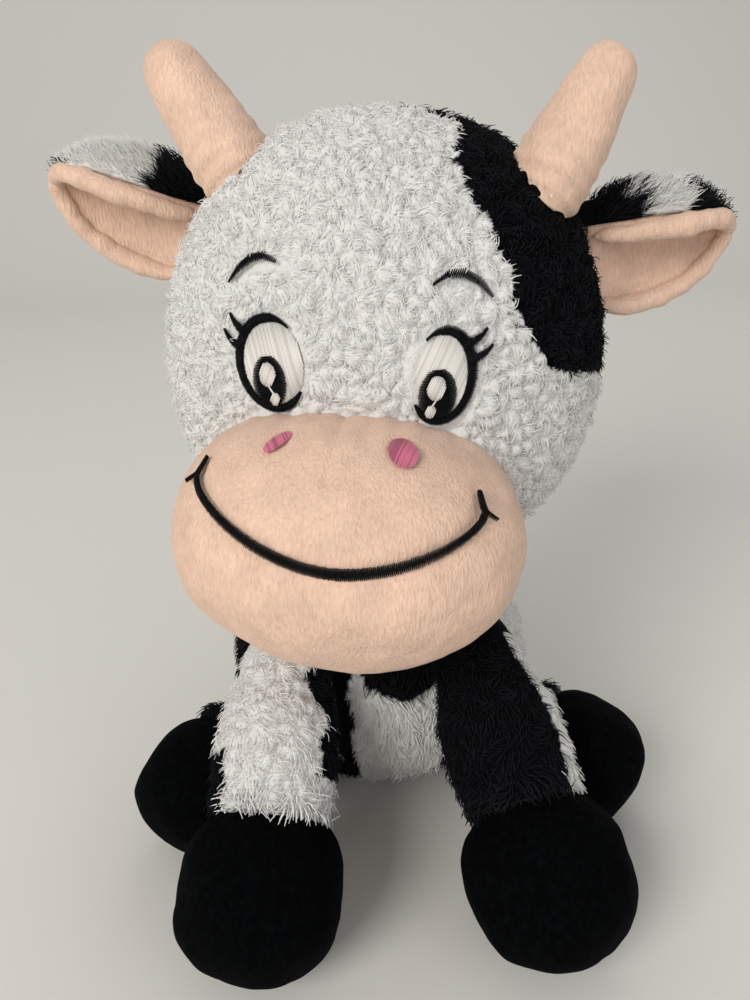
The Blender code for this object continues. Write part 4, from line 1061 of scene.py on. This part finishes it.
def filled_oval(surface, x, z, wide, high, tilt, slant, pitch, lift, crown):
    """Parallel stitches that fill a tilted oval on a surface, each raised in its middle."""
    c, s = math.cos(slant), math.sin(slant)
    reach = math.sqrt((wide * s) ** 2 + (high * c) ** 2)
    chance = random.Random(f"{x}{z}{wide}")
    lines = []
    steps = int(2 * reach / pitch)
    for i in range(1, steps):
        off = -reach + 2 * reach * i / steps
        a = (c / wide) ** 2 + (s / high) ** 2
        b = 2 * (-off * s * c / wide**2 + off * c * s / high**2)
        d = (off * s / wide) ** 2 + (off * c / high) ** 2 - 1
        root = b * b - 4 * a * d
        if root <= 0:
            continue
        low, far = (-b - math.sqrt(root)) / (2 * a), (-b + math.sqrt(root)) / (2 * a)
        low, far = low - 0.0003 * chance.random(), far + 0.0003 * chance.random()
        line = []
        count = max(3, int((far - low) / 0.0018) + 2)
        for k in range(count + 1):
            t = low + (far - low) * k / count
            u, v = t * c - off * s, t * s + off * c
            inner = 1 - min((u / wide) ** 2 + (v / high) ** 2, 1)
            spot = (x + u * math.cos(tilt) - v * math.sin(tilt), z + u * math.sin(tilt) + v * math.cos(tilt))
            line.append(surface(*spot, lift + crown * math.sqrt(inner)))
        lines.append(line)
    return lines


def across_path(surface, path, widths, pitch, lift, crown, slant=0.25):
    """Short stitches across a path on a surface, as wide as it is there, with uneven ends."""
    path = [Vector(p) for p in path]
    chance = random.Random(f"{path[0].x}{path[-1].y}")
    run = [0.0]
    for a, b in zip(path, path[1:]):
        run.append(run[-1] + (b - a).length)
    count = max(2, int(run[-1] / pitch))
    lines = []
    for i in range(count + 1):
        at = run[-1] * i / count
        k = max(j for j in range(len(run)) if run[j] <= at + 1e-12)
        k = min(k, len(path) - 2)
        share = (at - run[k]) / max(run[k + 1] - run[k], 1e-9)
        spot = path[k].lerp(path[k + 1], share)
        ahead = (path[min(k + 2, len(path) - 1)] - path[max(k - 1, 0)]).normalized()
        side = Vector((-ahead.y, ahead.x)) + ahead * slant
        half = (widths[k] + (widths[k + 1] - widths[k]) * share) / 2
        if half < 0.0003:
            continue
        first, last = (1 + 0.22 * chance.random() for _ in range(2))
        line = []
        for t in (-first, -0.6, 0, 0.6, last):
            p = spot + side * half * t
            line.append(surface(p.x, p.y, lift + crown * (1 - min(t * t, 1))))
        lines.append(line)
    return lines


def hook(start, way, bend, length, widest, count=9):
    """A curved stroke that tapers: its places and widths."""
    path, widths, spot, angle = [], [], Vector(start), way
    for i in range(count):
        path.append(tuple(spot))
        widths.append(widest * (1 - 0.75 * i / (count - 1)))
        spot = spot + Vector((math.cos(angle), math.sin(angle))) * length / (count - 1)
        angle += bend / (count - 1)
    return path, widths


def make_eyes(settings):
    """Embroidered eyes: silver whites, black outlines with lashes, pupils and their glints."""
    pitch, radius = settings.stitch_pitch, settings.thread_radius
    eyes = (("left", 1, 0.0088, 0.04, 1.25), ("right", -1, 0.0112, 0.16, 1.75))
    for side, sign, wide, lean, slant in eyes:
        x, z, tilt = sign * EYE_SIDE, EYE_RISE, -sign * lean
        lines = filled_oval(on_head, x, z, wide + 0.0004, EYE_HIGH, tilt, slant, pitch, 0.0008, 0.0006)
        threads(f"eye_{side}_white_satin", lines, radius, "silver", "head",
                f"eye_{side}_white")
        ring, widths = [], []
        for i in range(145):
            turn = -70 + 360 * i / 144
            angle = math.radians(turn if sign > 0 else 180 - turn)
            ring.append(oval_ring(x, z, wide + 0.0011, EYE_HIGH + 0.0010, tilt, angle))
            widths.append(float(np.interp(turn, [-70, -40, 20, 95, 118, 140, 212, 240, 290],
                                          [0.0024, 0.0028, 0.0032, 0.0028, 0.0010, 0.0002, 0.0002,
                                           0.0024, 0.0024])))
        lines = across_path(on_head, ring, widths, pitch, 0.0013, 0.0009)
        for turn, way, bend in ((24, 14, 50), (46, 20, 45)):
            angle = math.radians(turn if sign > 0 else 180 - turn)
            start = oval_ring(x, z, wide + 0.001, EYE_HIGH + 0.001, tilt, angle)
            way = math.radians(way if sign > 0 else 180 - way)
            path, size = hook(start, way, sign * math.radians(bend), 0.0082, 0.0034)
            lines += across_path(on_head, path, size, pitch, 0.0020, 0.0008)
        threads(f"eye_{side}_outline_satin", lines, radius, "dark", "head",
                f"eye_{side}_rim")
        low = z - 0.0060
        px = x - sign * (0.0010 if side == "left" else -0.0005)
        lines = filled_oval(on_head, px, low, 0.0061, 0.0090, tilt * 0.6, 0.12, pitch, 0.0019, 0.0009)
        threads(f"eye_{side}_pupil_satin", lines, radius, "dark", "head",
                f"eye_{side}_pupil")
        lines = filled_oval(on_head, px - 0.0004, low + 0.0028, 0.0030, 0.0040, 0.0, 1.2, pitch,
                            0.0031, 0.0006)
        threads(f"eye_{side}_glint_satin", lines, radius, "silver", "head",
                f"eye_{side}_glint")
        sx = px - sign * 0.0022 + 0.0004
        lines = filled_oval(on_head, sx, low - 0.0052, 0.0018, 0.0021, 0.0, 1.2, pitch, 0.0031, 0.0004)
        lines.append([on_head(px + (sx - px) * i / 4, low - 0.0008 - 0.0008 * i, 0.0033)
                      for i in range(5)])
        threads(f"eye_{side}_spark_satin", lines, radius, "silver", "head",
                f"eye_{side}_spark")


def make_stitching(settings):
    """Brows, nostrils and the smile, in satin stitch."""
    pitch, radius = settings.stitch_pitch, settings.thread_radius
    brows = {
        "left": ((0.0240, 0.0392), (0.0285, 0.0424), (0.0335, 0.0425), (0.0385, 0.0400),
                 (0.0430, 0.0355)),
        "right": ((-0.0290, 0.0428), (-0.0340, 0.0442), (-0.0385, 0.0428), (-0.0430, 0.0392),
                  (-0.0465, 0.0345)),
    }
    for side, path in brows.items():
        widths = [0.0010, 0.0023, 0.0026, 0.0022, 0.0008]
        lines = across_path(on_head, path, widths, pitch * 1.35, 0.0020, 0.0006, 0.35)
        threads(f"brow_{side}_satin", lines, radius, "dark", "head", f"brow_{side}")
    for side, x, wide, high, tilt in (("left", 0.0200, 0.0049, 0.0066, 0.22),
                                      ("right", -0.0205, 0.0058, 0.0026, 0.92)):
        lines = filled_oval(on_muzzle, x, 0.0515, wide, high, tilt, 1.15, pitch, 0.0003, 0.0005)
        threads(f"nostril_{side}_satin", lines, radius, "pink", "head",
                f"nostril_{side}")
    path, widths = [], []
    for i in range(81):
        share = math.sin(math.pi * (i / 80 - 0.5))
        path.append(smile_at(share))
        widths.append(0.0036 * (1 - 0.45 * abs(share) ** 3))
    lines = across_path(on_muzzle, path, widths, pitch * 1.2, 0.0002, 0.0011)
    for sign in (-1, 1):
        for way, bend, length in ((112, -14, 0.0078), (-24, 10, 0.0044)):
            way = math.radians(way if sign > 0 else 180 - way)
            path, size = hook(smile_at(sign), way, sign * math.radians(bend), length, 0.0026)
            size = [0.0013 + w * 0.5 for w in size]
            lines += across_path(on_muzzle, path, size, pitch, 0.0004, 0.0010)
    threads("smile_satin", lines, radius, "dark", "head", "smile")


# Legs, hooves and tail


def make_legs(settings):
    """Four fleece legs, with a fringe of longer fibre over each ankle seam."""
    for name in LIMBS:
        kind = "front" if name.startswith("front") else "hind"
        place = limb_frame(name)
        profile = fine_profile(list(LEG_SIZES[kind]), 90 if kind == "front" else 44)
        length = LEG_SIZES[kind][-1][1]
        profile = [(r, z) for r, z in profile] + [(0, length)]
        points, faces = revolved(profile, 120)
        base = solid(f"{name}_fleece_ground", carried(points, place), faces, finishes()["ground"])
        points, away = coordinates(base), normals(base)
        spots = local(points, place)
        z, around = spots[:, 2], np.arctan2(spots[:, 1], spots[:, 0])
        free = smooth_step(z, 0.002, 0.012) * (1 - smooth_step(z, length - 0.003, length))
        points += away * (puffs(points, 0.0054, 0.0022, 9) * free)[:, None]
        move_points(base, points)
        round_side = np.hypot(spots[:, 0], spots[:, 1]) > 0.012
        fringe = 0.6 * smooth_step(z, length - 0.011, length - 0.002)
        pile = smooth_step(z, -0.002, 0.006) * round_side * (1 + fringe)
        wave = np.array([noise.noise(Vector(p) * 70) for p in points])
        out = np.cos(around)
        up = np.sin(around)
        if name == "front_leg_left":
            dark = ~((out + 0.12 * wave > 0.60) & (z > 0.004))
        elif name == "front_leg_right":
            inner = (out + 0.5 * wave > 0.72) & (up > -0.4) & (z < 0.052)
            dark = inner | ((out + 0.4 * wave < -0.62) & (z > 0.045))
        elif name == "hind_leg_left":
            dark = out + 0.5 * wave > 0.2
        else:
            dark = out + 0.5 * wave < 0.1
        paint(base, "pile", pile.astype(float))
        paint(base, "dark", dark.astype(float))
        down = np.array(place.to_3x3()) @ np.array((0, 0, 1.0))
        paint(base, "comb", swirls(points, 0.007, 3) + down * 0.9)
        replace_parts(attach(base, name), f"{name}_cover")
        fleece(name, base, name, settings, 41, length=1.25)


def make_hooves(settings):
    """Four velour hooves, full and rounded, gathered a little at the ankle seam."""
    for name in LIMBS:
        kind = "front" if name.startswith("front") else "hind"
        place = limb_frame(name)
        ankle, radius, length, leg = HOOF_SIZES[kind]
        bend = 2 / 2.6
        last = math.pi - math.asin((ankle / radius) ** (1 / bend))
        profile = []
        for i in range(81):
            angle = last * i / 80
            flat = math.copysign(abs(math.cos(angle)) ** bend, math.cos(angle))
            profile.append((radius * math.sin(angle) ** bend if i else 0, -flat))
        low, high = profile[0][1], profile[-1][1]
        profile = [(r, leg + 0.0003 - length * (z - high) / (high - low)) for r, z in profile]
        profile = fine_profile(profile, 64) + [(0, leg + 0.0003)]
        points, faces = revolved(profile, 96)
        around = np.arctan2(points[:, 1], points[:, 0])
        near = np.exp(-(np.maximum(points[:, 2] - leg, 0) / 0.008) ** 2)
        pleat = np.sin(around * 17 + 1.5 * np.sin(around * 3)) * near
        points[:, :2] *= (1 + 0.022 * pleat * (points[:, 2] > leg + 0.0004))[:, None]
        piece = solid(f"{name}_hoof_velour", carried(points, place), faces, finishes()["velour"])
        spots = local(coordinates(piece), place)
        held = (spots[:, 2] < leg + 0.003) | (coordinates(piece)[:, 2] < 0.003)
        stuffed(piece, held.astype(float), 0.004, 0.0045)
        points, away = coordinates(piece), normals(piece)
        free = smooth_step(local(points, place)[:, 2], leg + 0.0005, leg + 0.004)
        rough = lumps(points, 0.017, 0.0016, 10) + lumps(points, 0.006, 0.0003, 11)
        points += away * (rough * free)[:, None]
        points[:, 2] = np.maximum(points[:, 2], 0)
        move_points(piece, points)
        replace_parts(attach(piece, name), f"{name}_hoof_cover")


def make_tail(settings):
    """A short fleece tail with a tuft of long black hair."""
    place = Matrix.Translation(joint_point("tail_wag")) @ Matrix.Rotation(-math.pi / 2 - math.radians(52), 4, "X")
    corners = [(0, -0.007), (0.005, -0.005), (0.007, 0), (0.0075, 0.015), (0.006, 0.030), (0, 0.0302)]
    down = np.array(place.to_3x3()) @ np.array((0, 0, 1.0))
    points, faces = revolved(fine_profile(corners, 40), 32)
    base = solid("tail_fleece_ground", carried(points, place), faces, finishes()["ground"])
    spots = local(coordinates(base), place)
    paint(base, "pile", 0.75 * smooth_step(spots[:, 2], 0.003, 0.008) * (spots[:, 2] < 0.030))
    paint(base, "dark", np.zeros(len(spots)))
    paint(base, "comb", np.tile(down, (len(spots), 1)))
    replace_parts(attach(base, "tail"), "tail_tube")
    fleece("tail", base, "tail", settings, 61)
    corners = [(0, 0.0303), (0.006, 0.0305), (0.0115, 0.040), (0.0125, 0.047), (0.009, 0.055), (0, 0.0585)]
    points, faces = revolved(fine_profile(corners, 30), 32)
    tuft = solid("tail_tuft_ground", carried(points, place), faces, finishes()["ground"])
    count = len(tuft.data.vertices)
    paint(tuft, "pile", np.ones(count))
    paint(tuft, "dark", np.ones(count))
    paint(tuft, "comb", np.tile(down, (count, 1)))
    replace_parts(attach(tuft, "tail"), "tail_tuft")
    fleece("tail_tuft", tuft, "tail", settings, 62, length=2.6, spacing=0.7, rise=0.22,
           stray=0.4)


def make_wadding(settings):
    """The stuffing in every cover, and the pellet bag in the seat, as soft lumpy bodies."""
    for name, node in frame["nodes"].items():
        if not (name.endswith("stuffing") or name == "pellet_bag"):
            continue
        shade = "pellets" if name == "pellet_bag" else "wadding"
        copy = bmesh.new()
        copy.from_mesh(node.data)
        bmesh.ops.remove_doubles(copy, verts=copy.verts, dist=0.00001)
        bmesh.ops.subdivide_edges(copy, edges=copy.edges, cuts=1, use_grid_fill=True)
        data = bpy.data.meshes.new(f"{name}_fill")
        copy.to_mesh(data)
        copy.free()
        data.shade_smooth()
        data.materials.clear()
        data.materials.append(finishes()[shade])
        piece = bpy.data.objects.new(f"{name}_fill", data)
        bpy.context.scene.collection.objects.link(piece)
        points = coordinates(piece)
        clear = 0.0030 if name.startswith("horn") else 0.0010
        inward = clear + np.abs(lumps(points, 0.006, 0.0006, 12))
        move_points(piece, points - normals(piece) * inward[:, None])
        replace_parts(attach(piece, node["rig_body"]), name)


# Stage


def make_stage(settings):
    """A pale floor that sweeps up into a backdrop, soft studio light, and the camera."""
    profile = [(y, 0.0) for y in np.linspace(-3.0, 1.2, 8)]
    profile += [(1.2 + 0.8 * math.sin(a), 0.8 - 0.8 * math.cos(a)) for a in np.linspace(0.05, math.pi / 2, 16)]
    profile += [(2.0, z) for z in (1.6, 2.6, 3.6)]
    points, faces = [], []
    for y, z in profile:
        for x in np.linspace(-4, 4, 9):
            points.append((x, y, z))
    for i in range(len(profile) - 1):
        for j in range(8):
            a = i * 9 + j
            faces.append((a, a + 1, a + 10, a + 9))
    data = bpy.data.meshes.new("studio_floor")
    data.from_pydata(points, [], faces)
    data.shade_smooth()
    floor = bpy.data.objects.new("studio_floor", data)
    bpy.context.scene.collection.objects.link(floor)
    material, _, shader = cloth_base("paper_backdrop", linear("#DEDCD7"), 0.9)
    shader.inputs["Specular IOR Level"].default_value = 0.2
    data.materials.append(material)
    for title, spot, size, power, colour in (
        ("key_softbox", (-1.15, -1.60, 1.25), 1.2, settings.key_power, "#FFFCF8"),
        ("fill_softbox", (1.2, -1.1, 0.5), 1.2, settings.key_power * 0.14, "#F6F8FF"),
        ("rear_softbox", (0.3, 1.1, 1.5), 1.2, settings.key_power * 0.12, "#FFFFFF"),
    ):
        lamp = bpy.data.lights.new(title, "AREA")
        lamp.shape = "DISK"
        lamp.size = size
        lamp.energy = power
        lamp.color = linear(colour)[:3]
        holder = bpy.data.objects.new(title, lamp)
        bpy.context.scene.collection.objects.link(holder)
        holder.location = spot
        holder.rotation_euler = (Vector((0, 0, 0.14)) - Vector(spot)).to_track_quat("-Z", "Y").to_euler()
    world = bpy.data.worlds.new("studio_air")
    world.use_nodes = True
    world.node_tree.nodes["Background"].inputs["Color"].default_value = linear("#F4F4F2")
    world.node_tree.nodes["Background"].inputs["Strength"].default_value = settings.air_strength
    bpy.context.scene.world = world
    lens = bpy.data.cameras.new("camera")
    lens.sensor_width = 36
    lens.lens = 815 / 1000 * 36
    lens.clip_start = 0.01
    lens.dof.use_dof = False
    camera = bpy.data.objects.new("camera", lens)
    bpy.context.scene.collection.objects.link(camera)
    down = Euler((math.radians(90 - 24.4), 0, 0)).to_matrix().to_4x4()
    camera.matrix_world = Matrix.Translation((0, -0.34, 0.28)) @ down @ Matrix.Rotation(math.radians(-2.0), 4, "Z")
    bpy.context.scene.camera = camera
    bpy.context.scene.view_settings.view_transform = "Standard"


# Settings, operators and panel


class FleeceSettings(bpy.types.PropertyGroup):
    """Sizes of the sherpa pile and the combed hair."""

    fibre_spacing: FloatProperty(name="Fibre spacing", description="Between two fibres of pile",
                                 default=0.00125, min=0.0005, unit="LENGTH")
    fibre_length: FloatProperty(name="Fibre length", description="Of one bent fibre",
                                default=0.0036, min=0.0005, unit="LENGTH")
    fibre_radius: FloatProperty(name="Fibre radius", description="Half the thickness of a fibre",
                                default=0.00024, min=0.0001, unit="LENGTH")


class ThreadSettings(bpy.types.PropertyGroup):
    """Sizes of the embroidery."""

    stitch_pitch: FloatProperty(name="Stitch pitch", description="Between two satin stitches",
                                default=0.0005, min=0.0001, unit="LENGTH")
    thread_radius: FloatProperty(name="Thread radius", description="Half the thread's thickness",
                                 default=0.00033, min=0.0001, unit="LENGTH")


def tint(title, code, use):
    """A colour setting from its sRGB hex value."""
    return FloatVectorProperty(name=title, description=use, default=linear(code)[:3], size=3,
                               min=0.0, max=1.0, subtype="COLOR")


class ColourSettings(bpy.types.PropertyGroup):
    """The cow's colours."""

    white_fleece: tint("White fleece", "#EBEAE7", "Sherpa of the pale coat")
    black_fleece: tint("Black fleece", "#0A0B11", "Sherpa of the patches")
    minky: tint("Minky", "#E0BEA8", "Muzzle, horns and ear linings")
    velour: tint("Velour", "#030405", "Hooves")
    silver_thread: tint("Silver thread", "#E6E2DC", "Whites and glints of the eyes")
    black_thread: tint("Black thread", "#0B0B0F", "Outlines, pupils, brows and smile")
    pink_thread: tint("Pink thread", "#DA7C97", "Nostrils")


class StudioSettings(bpy.types.PropertyGroup):
    """The studio's lights."""

    key_power: FloatProperty(name="Key light", description="Power of the large lamp", default=33.0,
                             min=0.0, unit="POWER")
    air_strength: FloatProperty(name="Surrounding light", description="Strength of the even light",
                                default=0.50, min=0.0)


class COW_OT_stage(bpy.types.Operator):
    """Makes the floor, the lights and the camera"""

    bl_idname = "plush_cow.stage"
    bl_label = "Studio"

    def execute(self, context):
        make_stage(context.scene.cow_studio)
        return {"FINISHED"}


class COW_OT_torso(bpy.types.Operator):
    """Makes the torso's fleece"""

    bl_idname = "plush_cow.torso"
    bl_label = "Torso"

    def execute(self, context):
        make_torso(context.scene.cow_fleece)
        return {"FINISHED"}


class COW_OT_head(bpy.types.Operator):
    """Makes the head's fleece"""

    bl_idname = "plush_cow.head"
    bl_label = "Head"

    def execute(self, context):
        make_head(context.scene.cow_fleece)
        return {"FINISHED"}


class COW_OT_muzzle(bpy.types.Operator):
    """Makes the minky muzzle"""

    bl_idname = "plush_cow.muzzle"
    bl_label = "Muzzle"

    def execute(self, context):
        make_muzzle(context.scene.cow_fleece)
        return {"FINISHED"}


class COW_OT_horns(bpy.types.Operator):
    """Makes both minky horns"""

    bl_idname = "plush_cow.horns"
    bl_label = "Horns"

    def execute(self, context):
        make_horns(context.scene.cow_fleece)
        return {"FINISHED"}


class COW_OT_ears(bpy.types.Operator):
    """Makes both folded ears"""

    bl_idname = "plush_cow.ears"
    bl_label = "Ears"

    def execute(self, context):
        make_ears(context.scene.cow_fleece)
        return {"FINISHED"}


class COW_OT_eyes(bpy.types.Operator):
    """Stitches both eyes"""

    bl_idname = "plush_cow.eyes"
    bl_label = "Eyes"

    def execute(self, context):
        make_eyes(context.scene.cow_thread)
        return {"FINISHED"}


class COW_OT_stitching(bpy.types.Operator):
    """Stitches the brows, nostrils and smile"""

    bl_idname = "plush_cow.stitching"
    bl_label = "Face stitching"

    def execute(self, context):
        make_stitching(context.scene.cow_thread)
        return {"FINISHED"}


class COW_OT_legs(bpy.types.Operator):
    """Makes the four fleece legs"""

    bl_idname = "plush_cow.legs"
    bl_label = "Legs"

    def execute(self, context):
        make_legs(context.scene.cow_fleece)
        return {"FINISHED"}


class COW_OT_hooves(bpy.types.Operator):
    """Makes the four velour hooves"""

    bl_idname = "plush_cow.hooves"
    bl_label = "Hooves"

    def execute(self, context):
        make_hooves(context.scene.cow_fleece)
        return {"FINISHED"}


class COW_OT_tail(bpy.types.Operator):
    """Makes the tail and its tuft"""

    bl_idname = "plush_cow.tail"
    bl_label = "Tail"

    def execute(self, context):
        make_tail(context.scene.cow_fleece)
        return {"FINISHED"}


class COW_OT_wadding(bpy.types.Operator):
    """Makes the stuffing and the pellet bag"""

    bl_idname = "plush_cow.wadding"
    bl_label = "Stuffing"

    def execute(self, context):
        make_wadding(context.scene.cow_fleece)
        return {"FINISHED"}


PIECES = [
    COW_OT_torso,
    COW_OT_head,
    COW_OT_muzzle,
    COW_OT_horns,
    COW_OT_ears,
    COW_OT_eyes,
    COW_OT_stitching,
    COW_OT_legs,
    COW_OT_hooves,
    COW_OT_tail,
    COW_OT_wadding,
]


class COW_PT_panel(bpy.types.Panel):
    """Lists the settings and the pieces in the sidebar"""

    bl_idname = "COW_PT_panel"
    bl_label = "Plush cow"
    bl_space_type = "VIEW_3D"
    bl_region_type = "UI"
    bl_category = "Plush cow"

    def draw(self, context):
        for group in GROUPS:
            box = self.layout.box()
            settings = getattr(context.scene, group)
            for key in settings.__annotations__:
                box.prop(settings, key)
        for operator in (*PIECES, COW_OT_stage):
            self.layout.operator(operator.bl_idname)


GROUPS = {"cow_colours": ColourSettings, "cow_fleece": FleeceSettings, "cow_thread": ThreadSettings,
          "cow_studio": StudioSettings}
CLASSES = [*GROUPS.values(), *PIECES, COW_OT_stage, COW_PT_panel]


def register():
    """Registers the classes and hangs their settings on the scene."""
    for item in CLASSES:
        bpy.utils.register_class(item)
    for name, group in GROUPS.items():
        setattr(bpy.types.Scene, name, PointerProperty(type=group))


def unregister():
    """Takes away what register added."""
    for name in GROUPS:
        delattr(bpy.types.Scene, name)
    for item in reversed(CLASSES):
        bpy.utils.unregister_class(item)


def main():
    register()
    bpy.ops.plush_cow.stage()
    for piece in PIECES:
        getattr(bpy.ops.plush_cow, piece.bl_idname.split(".")[1])()


if __name__ == "__main__":
    main()
